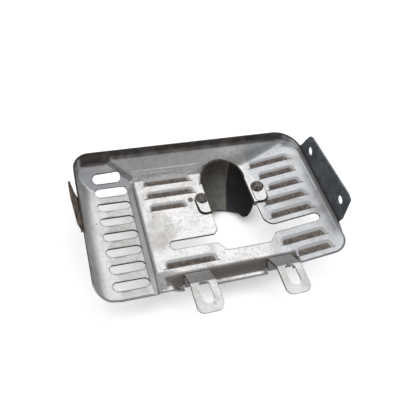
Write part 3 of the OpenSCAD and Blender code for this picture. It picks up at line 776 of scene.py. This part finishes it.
parts = [(scoop_points, scoop_faces), ear_sheet(EARS[0], 1), ear_sheet(EARS[1], -1)]
starts = np.cumsum([0] + [len(points) for points, _ in parts])
sheet_points = np.vstack([points for points, _ in parts])
sheet_faces = np.vstack([faces + start for (_, faces), start in zip(parts, starts)])
deflector_mesh, _ = sheet_mesh("deflector_sheet", sheet_points, sheet_faces, SCOOP_THICK)
deflector = add_object("deflector_sheet", deflector_mesh)
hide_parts("deflector")
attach(deflector, "root")
print("deflector: faces", len(deflector_mesh.polygons))

# %% [markdown]
# Geometry trees and materials are both made of nodes. Here they are written as sums and
# products: Signal wraps one output socket, so that ordinary arithmetic adds the Math nodes,
# and every other node comes from Nodes.signal or Nodes.node.

# %% A small language for nodes
def operator(operation, swapped=False):
    """A method that adds one Math node. A reflected form has its two values swapped."""
    def method(self, other):
        a, b = (other, self) if swapped else (self, other)
        return self.nodes.signal("ShaderNodeMath", {"operation": operation}, {0: a, 1: b})
    return method


class Signal:
    def __init__(self, nodes, socket):
        self.nodes, self.socket = nodes, socket

    __add__ = __radd__ = operator("ADD")
    __mul__ = __rmul__ = operator("MULTIPLY")
    __sub__, __rsub__ = operator("SUBTRACT"), operator("SUBTRACT", swapped=True)
    __truediv__, __pow__, __gt__ = operator("DIVIDE"), operator("POWER"), operator("GREATER_THAN")
    at_least, at_most = operator("MAXIMUM"), operator("MINIMUM")

    def away_from(self, value):
        """Distance from a value, to either side."""
        return (self - value).at_least(value - self)

    def step(self, start, end):
        """0 below start, 1 above end, with a soft change between them."""
        return self.nodes.signal("ShaderNodeMapRange", {"interpolation_type": "SMOOTHSTEP"},
                                 {"Value": self, "From Min": start, "From Max": end})


class Nodes:
    def __init__(self, tree):
        self.tree = tree

    def node(self, kind, settings=None, inputs=None):
        """A new node. Its settings come first, because they decide which inputs it has."""
        node = self.tree.nodes.new(kind)
        for key, value in (settings or {}).items():
            setattr(node, key, value)
        self.fill(node, inputs or {})
        return node

    def fill(self, node, inputs):
        """Sets inputs by name or number. A signal or socket is linked, the rest are values."""
        for key, value in inputs.items():
            value = getattr(value, "socket", value)
            if isinstance(value, bpy.types.NodeSocket):
                self.tree.links.new(value, node.inputs[key])
            else:
                node.inputs[key].default_value = value

    def signal(self, kind, settings=None, inputs=None, output=0):
        """One output of a new node."""
        return Signal(self, self.node(kind, settings, inputs).outputs[output])

    def vector(self, operation, *values, **named):
        return self.signal("ShaderNodeVectorMath", {"operation": operation},
                           {**dict(enumerate(values)), **named})

    def split(self, vector):
        parts = self.node("ShaderNodeSeparateXYZ", None, {0: vector}).outputs
        return [Signal(self, part) for part in parts]


verbs = [name.strip("_") for name, value in vars(Signal).items() if callable(value)]
print("a signal can:", ", ".join(verbs[1:]))

# %% [markdown]
# The two rivets are one small machine made of geometry nodes. A cylinder with rings in its
# ends is the head; its upper end is raised to a low dome by a rule on the radius. The shank
# and the closing head are plain cylinders. Both rivets are instances of this one, and the
# second leans with the lifted floor.

# %% Rivets from geometry nodes
HEAD_D, HEAD_HEIGHT, HEAD_EDGE, SHANK_D = 7.8, 1.5, 0.5, 4.0
CLOSING_D, CLOSING_HEIGHT = 6.0, 0.8
RIVET_INPUTS = (
    ("Head diameter", "Float", HEAD_D * MM), ("Head height", "Float", HEAD_HEIGHT * MM),
    ("Shank diameter", "Float", SHANK_D * MM), ("Closing diameter", "Float", CLOSING_D * MM),
    ("Step", "Vector", [v * MM for v in RIVET_STEP]),
    ("Lean", "Vector", (-LIFT_SX, -LIFT_SY, 0.0)), ("Material", "Material", None))


class Machine(Nodes):
    """A geometry tree with named inputs."""

    def __init__(self, name, inputs):
        super().__init__(bpy.data.node_groups.new(name, "GeometryNodeTree"))
        sockets, self.ids = self.tree.interface, {}
        for label, kind, value in inputs:
            item = sockets.new_socket(name=label, in_out="INPUT", socket_type="NodeSocket" + kind)
            if value is not None:
                item.default_value = value
            self.ids[label] = item.identifier
        sockets.new_socket(name="Geometry", in_out="OUTPUT", socket_type="NodeSocketGeometry")
        self.given = {s.name: Signal(self, s) for s in self.node("NodeGroupInput").outputs}

    def moved(self, geometry, by):
        return self.signal("GeometryNodeTransform", None, {"Geometry": geometry, "Translation": by})

    def disc(self, diameter, height, middle):
        """A plain cylinder. Its height and the height of its middle are in millimetres."""
        size = {"Vertices": 48, "Radius": diameter * 0.5, "Depth": height * MM}
        return self.moved(self.signal("GeometryNodeMeshCylinder", None, size), (0, 0, middle * MM))

    def run(self, name, values):
        """Runs the tree once and keeps its result as a plain mesh at the origin."""
        carrier = add_object(name + "_carrier", bpy.data.meshes.new(name + "_carrier"))
        modifier = carrier.modifiers.new(name, "NODES")
        modifier.node_group = self.tree
        for key, value in values.items():
            modifier[self.ids[key]] = value
        graph = bpy.context.evaluated_depsgraph_get()
        mesh = bpy.data.meshes.new_from_object(carrier.evaluated_get(graph), depsgraph=graph)
        mesh.name = name
        bpy.data.objects.remove(carrier)
        return add_object(name, mesh)


def rivet_head(tree):
    """A round plate with a straight edge, whose top is raised to a dome."""
    radius = tree.given["Head diameter"] * 0.5
    plate = tree.signal("GeometryNodeMeshCylinder", {"fill_type": "TRIANGLE_FAN"},
                        {"Vertices": 64, "Side Segments": 3, "Fill Segments": 10,
                         "Radius": radius, "Depth": HEAD_EDGE * MM})
    x, y, z = tree.split(tree.signal("GeometryNodeInputPosition"))
    bulge = 1 - ((x**2 + y**2) ** 0.5 / radius) ** 2.6
    rise = bulge * (tree.given["Head height"] - HEAD_EDGE * MM) * (z > 0.2 * MM)
    offset = tree.signal("ShaderNodeCombineXYZ", None, {"Z": rise})
    dome = tree.signal("GeometryNodeSetPosition", None, {"Geometry": plate, "Offset": offset})
    return tree.moved(dome, (0, 0, (SCOOP_THICK + HEAD_EDGE / 2) * MM))


def rivet_tree():
    tree = Machine("rivets", RIVET_INPUTS)
    given = tree.given
    shank = tree.disc(given["Shank diameter"], PAN_THICK + SCOOP_THICK, (SCOOP_THICK - PAN_THICK) / 2)
    closing = tree.disc(given["Closing diameter"], CLOSING_HEIGHT, -PAN_THICK - CLOSING_HEIGHT / 2)
    one = tree.node("GeometryNodeJoinGeometry")
    for part in (rivet_head(tree), shank, closing):
        tree.fill(one, {0: part})
    number = tree.signal("GeometryNodeInputIndex")
    up = tree.vector("ADD", tree.vector("SCALE", given["Lean"], Scale=number), (0, 0, 1))
    turn_to = tree.signal("FunctionNodeAlignRotationToVector", {"axis": "Z"}, {"Vector": up})
    spot = tree.vector("SCALE", given["Step"], Scale=number)
    points = tree.signal("GeometryNodePoints", None, {"Count": 2, "Position": spot})
    copies = tree.signal("GeometryNodeInstanceOnPoints", None,
                         {"Points": points, "Instance": one.outputs[0], "Rotation": turn_to})
    real = tree.signal("GeometryNodeRealizeInstances", None, {"Geometry": copies})
    smooth = tree.signal("GeometryNodeSetShadeSmooth", None, {0: real})
    painted = tree.signal("GeometryNodeSetMaterial", None,
                          {"Geometry": tree.moved(smooth, [float(v) for v in -ORIGIN * MM]),
                           "Material": given["Material"]})
    tree.node("NodeGroupOutput", None, {"Geometry": painted})
    return tree


rivet_maker = rivet_tree()
print("rivet tree: nodes", len(rivet_maker.tree.nodes))

# %% [markdown]
# A material reads the drawing's millimetres, so that a stain keeps its size and its place.
# Noise gives clouds and grain, Voronoi cells give flakes of scale and specks, and a colour is
# built like paint, coat over coat.

# %% Paint
class Paint(Nodes):
    def __init__(self, name):
        self.material = bpy.data.materials.new(name)
        self.material.use_nodes = True
        super().__init__(self.material.node_tree)
        self.tree.nodes.clear()
        self.shader = self.node("ShaderNodeBsdfPrincipled")
        self.node("ShaderNodeOutputMaterial", None, {"Surface": self.shader.outputs[0]})
        at = self.signal("ShaderNodeTexCoord", output="Object")
        self.mm = self.vector("MULTIPLY_ADD", at, (1000,) * 3, ORIGIN.tolist())
        self.x, self.y, self.z = self.split(self.mm)

    def attribute(self, name):
        return self.signal("ShaderNodeAttribute", {"attribute_name": name}, output="Fac")

    def noise(self, size_mm, detail=3.0, rough=0.55, shift=0.0, stretch=(1, 1, 1), warp=0.0):
        """Noise with features of about size_mm, from 0 to 1."""
        at = self.vector("MULTIPLY_ADD", self.mm, [v / size_mm for v in stretch],
                         (shift, shift * 1.7, shift * 0.6))
        return self.signal("ShaderNodeTexNoise", None,
                           {"Vector": at, "Scale": 1.0, "Detail": detail,
                            "Roughness": rough, "Distortion": warp}, "Fac")

    def cells(self, size_mm, shift):
        """Distance from the middles of Voronoi cells of about size_mm."""
        at = self.vector("MULTIPLY_ADD", self.mm, (1 / size_mm,) * 3, (shift,) * 3)
        return self.signal("ShaderNodeTexVoronoi", None, {"Vector": at, "Scale": 1.0}, "Distance")

    def blend(self, share, a, b):
        """Colour a where share is 0, colour b where it is 1."""
        a, b = [(*c, 1.0) if isinstance(c, tuple) else c for c in (a, b)]
        return self.signal("ShaderNodeMix", {"data_type": "RGBA"}, {0: share, 6: a, 7: b}, 2)

    def coats(self, colour, *coats):
        """Lays coats over a colour. Each has its share, from 0 to 1, and its own colour."""
        for share, coat in coats:
            colour = self.blend(share, colour, coat)
        return colour

    def finish(self, colour, metallic, roughness, height, depth_mm):
        bump = self.signal("ShaderNodeBump", None,
                           {"Height": height, "Strength": 1.0, "Distance": depth_mm * MM})
        self.fill(self.shader, {"Base Color": colour, "Metallic": metallic,
                                "Roughness": roughness, "Normal": bump})
        return self.material

# %% [markdown]
# The pan doesn't look the same all over: the strip and the lifted floor are duller, louver rims get a
# painted highlight, the louvers and the dent hold soot and painted shade, the channel's rear wall and
# the rear wall of the pan are brown. The step face and the rear-left facet are painted lighter as
# painted light, and the rear bevel darker and the step's crease dark as painted shade. Each such place
# is a mask, worked out from the same named values as the shape.

# %% Places on the pan that have a finish of their own
CLOSING_Y, CLOSING_LEAN = 22.3, 1.042
EAR_LINE = -8.2


def band(value, low, high, soft):
    """1 between low and high, fading to 0 outside within soft."""
    return value.step(low - soft, low) * (1 - value.step(high, high + soft))


def from_ear(p, place):
    """Distance from the middle line of one ear of the deflector."""
    x, y = p.x - place[0], p.y - place[1]
    past = y - y.at_least(EAR_LINE).at_most(0.0)
    return (x**2 + past**2) ** 0.5


def pan_places(p):
    depth = p.attribute("soot_and_shade")
    # Deep in the louvers and the dent: soot, and painted shade in the hollows.
    soot_and_shade = depth.step(0.24, 0.36)
    rear = p.y.step(36.6, 38.2)
    closing = (p.y - CLOSING_Y).at_least(0.0) * CLOSING_LEAN
    strip = 1 - (p.x - STEP_X + closing).step(-1.0, 0.5)
    # The step face is painted lighter: painted light on a face that lies in shade.
    step = band(p.x, STEP_X + STRIP_Z / STEP_SLOPE, STEP_X, 0.5)
    step = step * (1 - p.y.step(16.0, 22.0)) * (1 - depth.step(0.0, 0.02))
    channel_wall = band(p.y, CHANNEL_FOOT - 0.1, CHANNEL_Y - 0.3, 0.5)
    rise = (p.y - FACET_Y) * FACET_SLOPE + (p.x - LEFT_BEND).at_most(0.0) * LEFT_SLOPE
    return SimpleNamespace(
        soot_and_shade=soot_and_shade,
        # A painted highlight on the rolled rims of the louvers.
        painted_rim_highlight=depth.step(0.0, 0.05) * (1 - soot_and_shade),
        edge=p.attribute("edge").step(0.30, 0.70),
        rear=rear,
        strip=strip,
        lifted=(p.x - p.y * 0.1).step(35.0, 40.0),
        wall=channel_wall * band(p.x, CHANNEL_X0 + 2.5, CHANNEL_X1 - 0.5, 1.5),
        step=step,
        # A dark line along the step's upper bend: painted shade.
        painted_crease_shade=band(p.x, STEP_X - 0.8, STEP_X - 0.2, 0.4) * step,
        # The rear bevel is painted darker: painted shade on a face that tilts to the front.
        bevel=band(p.y, 28.0, 38.0, 1.2) * band(p.x, -40.0, 14.0, 18.0),
        left_rim=1 - p.x.step(LEFT + 0.2, LEFT + 0.8),
        # The rear-left facet is painted lighter as painted light.
        painted_light_facet=strip * rise.step(0.0, 0.6) * p.x.step(-77.0, -75.5) * (1 - rear),
    )


print("the strip's step is painted from x", round(STEP_X + STRIP_Z / STEP_SLOPE, 2), "to", STEP_X)

# %% [markdown]
# Bare steel that has been hot: a light grey sheet with a fine grain, wide brownish stains and small
# dark specks. The coats are laid in order, from the sheet itself to its cut edges, and last a painted
# shadow in front of the ears. Louver hollows, with their soot and painted shade, and brown places are
# less metallic, so they mirror less.

# %% Pan steel
def pan_colour(p, at, grain, fleck, scale, speck, stain):
    cloud = p.noise(13.0, 4.0, 0.6, 3.1, warp=0.4)
    plateau = (1 - at.strip) * (1 - at.lifted)
    wall_brown = p.blend(grain, (0.12, 0.095, 0.08), (0.34, 0.295, 0.26))
    # Painted light on the facet, white near its rear edge as a painted highlight.
    painted_facet_colour = p.blend(p.y.step(33.0, 36.0), (0.78, 0.80, 0.85), (1.0, 1.0, 1.0))
    # The louvers' brown stands for soot and for painted shade inside them.
    louver_brown = p.blend(fleck.step(0.38, 0.62), (0.25, 0.20, 0.17), (0.62, 0.54, 0.48))
    rear_brown = p.blend(cloud.step(0.38, 0.62), (0.075, 0.050, 0.040), (0.20, 0.185, 0.17))
    colour = p.coats(
        p.blend(cloud.step(0.3, 0.7), (0.57, 0.565, 0.555), (0.76, 0.75, 0.74)),
        (at.strip * 0.60, (0.46, 0.47, 0.46)),
        (at.lifted * 0.65, (0.46, 0.49, 0.53)),
        (scale * (0.15 + plateau * 0.35), (0.92, 0.91, 0.90)),
        (grain.step(0.50, 0.62) * plateau * 0.18, (0.34, 0.31, 0.28)),
        (stain * 0.45, (0.42, 0.39, 0.36)),
        (fleck.step(0.48, 0.75) * 0.14, (0.34, 0.315, 0.29)),
        (grain.step(0.54, 0.72) * 0.30, (0.30, 0.28, 0.26)),
        # Painted light on the step face, and painted shade in its crease and on the rear bevel.
        (at.step * 0.8, (0.90, 0.90, 0.895)),
        (at.painted_crease_shade * 0.75, (0.10, 0.09, 0.085)),
        (at.bevel * 0.5, (0.40, 0.405, 0.42)),
        (at.left_rim * 0.8, (0.17, 0.105, 0.075)),
        (at.wall * 0.85, wall_brown),
        (speck * 0.8, (0.09, 0.075, 0.065)),
        # Then a painted highlight on the louver rims, painted light on the rear-left facet, and soot
        # with painted shade in the louvers.
        (at.painted_rim_highlight * 0.85, (0.97, 0.97, 0.97)),
        (at.painted_light_facet * 0.8, painted_facet_colour),
        (at.soot_and_shade * 0.88, louver_brown),
        (at.rear * 0.80, rear_brown),
        (at.edge * 0.9, (0.065, 0.040, 0.030)))
    # A painted shadow, nearly black, just in front of each ear of the deflector.
    for place in EARS:
        shadow = 1 - from_ear(p, place).step(EAR_R, EAR_R + 0.7)
        shadow = shadow * (1 - (p.y - place[1]).step(-1.0, 6.0))
        colour = p.blend(shadow * 0.9, colour, (0.03, 0.026, 0.024))
    return colour


def pan_steel():
    p = Paint("pan_steel")
    at = pan_places(p)
    grain = p.noise(0.9, 4.0, 0.65)
    fleck = p.noise(2.2, 3.0, 0.7, 6.0, warp=1.2)
    scale = p.cells(2.1, 4.0).step(0.25, 0.62)
    speck = (1 - p.cells(5.2, 8.0).step(0.05, 0.11)) * p.noise(9.0, shift=2.0).step(0.5, 0.58)
    stain = p.noise(30.0, 5.0, 0.65, 9.4, warp=0.8).step(0.50, 0.72)
    dull = at.soot_and_shade * 0.5 + at.painted_rim_highlight * 0.75 + at.painted_light_facet * 0.72 + at.wall * 0.5
    dull = dull + at.step * 0.7 + speck * 0.5 + at.edge * 0.5
    rough = 0.27 + stain * 0.10 + at.soot_and_shade * 0.25 + grain * 0.12 + at.painted_rim_highlight * 0.04
    return p.finish(pan_colour(p, at, grain, fleck, scale, speck, stain), 0.92 - dull, rough,
                    grain * 0.5 + scale * 0.2 + fleck * 0.3 - speck, 0.035)


def cut_steel():
    """Sheared edges, where the steel rusts first."""
    p = Paint("cut_edge")
    rust = p.noise(2.6, 4.0, 0.6).step(0.35, 0.7)
    colour = p.blend(rust, (0.060, 0.047, 0.040), (0.17, 0.12, 0.09))
    return p.finish(colour, 0.35, 0.62, rust, 0.03)


cut_edge = cut_steel()
pan_mesh.materials.append(pan_steel())
pan_mesh.materials.append(cut_edge)
print("pan steel: nodes", len(pan_mesh.materials[0].node_tree.nodes))

# %% [markdown]
# The scoop catches the hot gas. Its inside is sooty, and the half that lies away from the light is
# painted nearly black as painted shade, with some rust at the rear. The ears are bright, and a narrow
# ring round each rivet head is painted dark as painted shadow.

# %% Deflector steel
def deflector_steel():
    p = Paint("deflector_steel")
    away = ((p.x - SCOOP_X) ** 2 + (p.y - SCOOP_Y).at_least(0.0) ** 2) ** 0.5
    above = p.z - ((p.x - LIFT_X) * LIFT_SX + p.y * LIFT_SY).at_least(0.0)
    ear = away.step(SCOOP_R + 0.9, SCOOP_R + 1.12)
    ear = ear * above.step(SCOOP_THICK - 0.25, SCOOP_THICK - 0.08) * (1 - above.step(3.0, 3.8))
    # A narrow ring round each rivet head keeps the scoop's dark colour: a painted shadow.
    for x, y in EARS:
        from_rivet = ((p.x - x) ** 2 + (p.y - y) ** 2) ** 0.5
        ear = ear * from_rivet.step(HEAD_D / 2 + 0.15, HEAD_D / 2 + 0.6)
    fine = p.noise(1.0, 4.0, 0.65)
    cloud = p.noise(6.0, 4.0, 0.65, 5.0, warp=0.8)
    # The half of the scoop that lies away from the light is painted nearly black: painted shade.
    painted_shade_half = (p.x * 0.95 - p.y * 0.283).step(18.6, 19.4)
    dark = p.coats(
        p.blend(fine * 0.4 + cloud.step(0.2, 0.8) * 0.6, (0.13, 0.127, 0.11), (0.36, 0.35, 0.31)),
        (painted_shade_half * 0.92, p.blend(cloud, (0.006, 0.008, 0.013), (0.022, 0.024, 0.030))),
        (p.y.step(19.0, 27.0) * p.noise(4.0, shift=3.0) * 0.8, (0.10, 0.062, 0.036)))
    bright = p.coats(
        p.blend(cloud.step(0.35, 0.75), (0.70, 0.70, 0.69), (0.88, 0.88, 0.87)),
        (fine.step(0.55, 0.72) * 0.4, (0.30, 0.28, 0.26)))
    for place in EARS:
        rim = band(from_ear(p, place), EAR_R - 0.35, EAR_R + 0.3, 0.2) * ear
        bright = p.blend(rim * 0.75, bright, (0.16, 0.10, 0.07))
    return p.finish(p.blend(ear, dark, bright), 0.35 + ear * 0.55,
                    0.44 + fine * 0.15 - ear * 0.14, fine + cloud * 0.6, 0.06)


deflector_mesh.materials.append(deflector_steel())
deflector_mesh.materials.append(cut_edge)
print("deflector steel: nodes", len(deflector_mesh.materials[0].node_tree.nodes))

# %% [markdown]
# The small pieces are made of other stock: dark rivets, bright bracket strip that is brushed where it
# rises and painted a darker grey there as painted shade, a plate of blued smoky steel, and a tab of
# the same, brown with rust. The brackets, the plate and the tab keep their CAD solids and only get a
# material.

# %% Rivets, brackets, plate and tab
def rivet_steel():
    p = Paint("rivet_steel")
    fine = p.noise(0.9, 4.0, 0.6)
    patch = p.noise(1.6, 3.0).step(0.35, 0.65)
    colour = p.blend(patch, (0.075, 0.064, 0.057), (0.30, 0.27, 0.245))
    return p.finish(colour, 0.7, 0.40 + fine * 0.2, fine, 0.05)


def bracket_steel():
    p = Paint("bracket_steel")
    fine = p.noise(0.9, 4.0, 0.65)
    brushed = p.noise(1.2, 3.0, 0.6, 1.0, stretch=(1, 0.12, 0.12))
    cloud = p.noise(9.0, 3.0, 0.55, 6.0)
    # The rising part: brushed streaks, and a darker grey as painted shade.
    rising = p.y.step(-66.0, -62.0)
    colour = p.coats(
        p.blend(cloud.step(0.35, 0.7), (0.60, 0.59, 0.575), (0.82, 0.81, 0.80)),
        (rising * 0.7, p.blend(brushed, (0.44, 0.43, 0.42), (0.78, 0.77, 0.76))),
        (fine.step(0.52, 0.68) * 0.42, (0.26, 0.235, 0.21)))
    for middle in BRACKET_X:
        away = p.x.away_from(middle)
        side = away.step(BRACKET_HALF - 0.35, BRACKET_HALF - 0.1)
        near = 1 - away.step(BRACKET_HALF + 1, BRACKET_HALF + 2)
        colour = p.blend(side * near * 0.85, colour, (0.11, 0.065, 0.045))
    return p.finish(colour, 0.9 - rising * 0.1, 0.30 + fine * 0.14, fine + brushed * 0.5, 0.03)


def plate_steel():
    p = Paint("plate_steel")
    cloud = p.noise(10.0, 4.0, 0.65, 2.0, warp=0.5)
    fine = p.noise(1.0, 4.0, 0.65)
    colour = p.coats(
        p.blend(cloud.step(0.3, 0.72), (0.12, 0.135, 0.16), (0.27, 0.29, 0.32)),
        (fine.step(0.55, 0.75) * 0.45, (0.38, 0.37, 0.36)))
    return p.finish(colour, 0.45, 0.38 + fine * 0.15, fine + cloud * 0.5, 0.04)


def tab_steel():
    p = Paint("tab_steel")
    cloud = p.noise(4.0, 4.0, 0.65, 7.0, warp=0.5)
    fine = p.noise(0.9, 4.0, 0.65)
    colour = p.coats(
        p.blend(cloud.step(0.36, 0.62), (0.10, 0.085, 0.075), (0.40, 0.35, 0.31)),
        (p.z.step(11.0, 16.0) * 0.5, (0.16, 0.095, 0.062)),
        (fine.step(0.52, 0.7) * 0.5, (0.13, 0.08, 0.06)))
    return p.finish(colour, 0.55, 0.5 + fine * 0.15, fine + cloud, 0.05)


bright_strip = bracket_steel()
for name, steel in (("plate_right", plate_steel()), ("tab_left", tab_steel()),
                    ("bracket_left", bright_strip), ("bracket_right", bright_strip)):
    nodes[name].data.materials.clear()
    nodes[name].data.materials.append(steel)
rivets = rivet_maker.run("rivets", {"Head diameter": HEAD_D * MM, "Material": rivet_steel()})
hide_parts("rivet_left", "rivet_right")
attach(rivets, "root")
print("rivets: faces", len(rivets.data.polygons))

# %% [markdown]
# The part lies on white paper. The lamps alone would leave the paper grey, so it shows the camera a
# little more white than it gets from them. That extra white fades by ambient occlusion where the part
# covers the paper or comes close to it: a painted shadow, which also keeps the lamps' shadow under the
# part from being lost.

# %% Floor
low = min(v.z for v in (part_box(name)[0] for name in nodes))
middle_point = Vector(to_frame([0.0, -8.0, 0.0]))


def white_paper():
    material = bpy.data.materials.new("white_floor")
    material.use_nodes = True
    paper = Nodes(material.node_tree)
    seen = paper.signal("ShaderNodeLightPath", output="Is Camera Ray")
    # Ambient occlusion dims the extra white close to the part: a painted shadow on the paper.
    painted_shadow_ao = paper.signal("ShaderNodeAmbientOcclusion", {"samples": 12}, {"Distance": 0.013}, "AO")
    paper.fill(paper.tree.nodes["Principled BSDF"], {
        "Base Color": (0.86, 0.86, 0.86, 1), "Roughness": 0.9,
        "Emission Color": seen * painted_shadow_ao**1.6, "Emission Strength": 0.66})
    return material


bpy.ops.mesh.primitive_plane_add(size=3.0, location=(middle_point.x, middle_point.y, low - 0.0002))
ground = bpy.context.object
ground.name = "ground"
ground.data.materials.append(white_paper())
print("floor at z", round(low - 0.0002, 4))

# %% [markdown]
# One wide soft light stands where the flat floor mirrors it towards the camera, so flat steel
# is bright and whatever tilts to the front falls dark. A second one serves the lifted right
# floor, and a low strip and a fill light the front and the left. The world is dark near the
# horizon and greyer overhead, and white only where the camera looks.

# %% Lamps and world
def soft_lamp(name, toward, distance, width, height, radiance):
    """A soft box in direction toward, whose face shines with about that radiance."""
    lamp = bpy.data.lights.new(name, "AREA")
    lamp.shape = "RECTANGLE"
    lamp.size, lamp.size_y = width, height
    lamp.energy = radiance * math.pi * width * height
    thing = add_object(name, lamp)
    direction = Vector(toward).normalized()
    thing.location = middle_point + direction * distance
    thing.rotation_euler = direction.to_track_quat("Z", "Y").to_euler()


def studio_world():
    world = bpy.data.worlds.new("studio")
    scene.world = world
    world.use_nodes = True
    sky = Nodes(world.node_tree)
    grey = sky.tree.nodes["Background"]
    up = sky.split(sky.signal("ShaderNodeTexCoord", output="Generated"))[2]
    rise = sky.signal("ShaderNodeMapRange", None,
                      {"Value": up, "From Min": 0.15, "From Max": 1.0, "To Min": 0.11, "To Max": 0.42})
    sky.fill(grey, {"Color": (0.97, 0.98, 1.0, 1), "Strength": rise})
    white = sky.signal("ShaderNodeBackground", None, {"Color": (1, 1, 1, 1)})
    seen = sky.signal("ShaderNodeLightPath", output="Is Camera Ray")
    pick = sky.signal("ShaderNodeMixShader", None, {0: seen, 1: grey.outputs[0], 2: white})
    sky.fill(sky.tree.nodes["World Output"], {"Surface": pick})


soft_lamp("mirror_box", (0.27, 0.50, 0.82), 0.95, 0.80, 0.66, 1.1)
soft_lamp("right_box", (0.70, 0.54, 0.44), 1.0, 0.70, 0.62, 1.05)
soft_lamp("front_strip", (-0.15, -0.78, 0.62), 1.0, 1.1, 0.10, 1.8)
soft_lamp("left_fill", (-0.93, -0.10, 0.36), 1.0, 0.70, 0.50, 1.1)
studio_world()
scene.view_settings.view_transform = "Standard"
print("lamps:", len(bpy.data.lights))
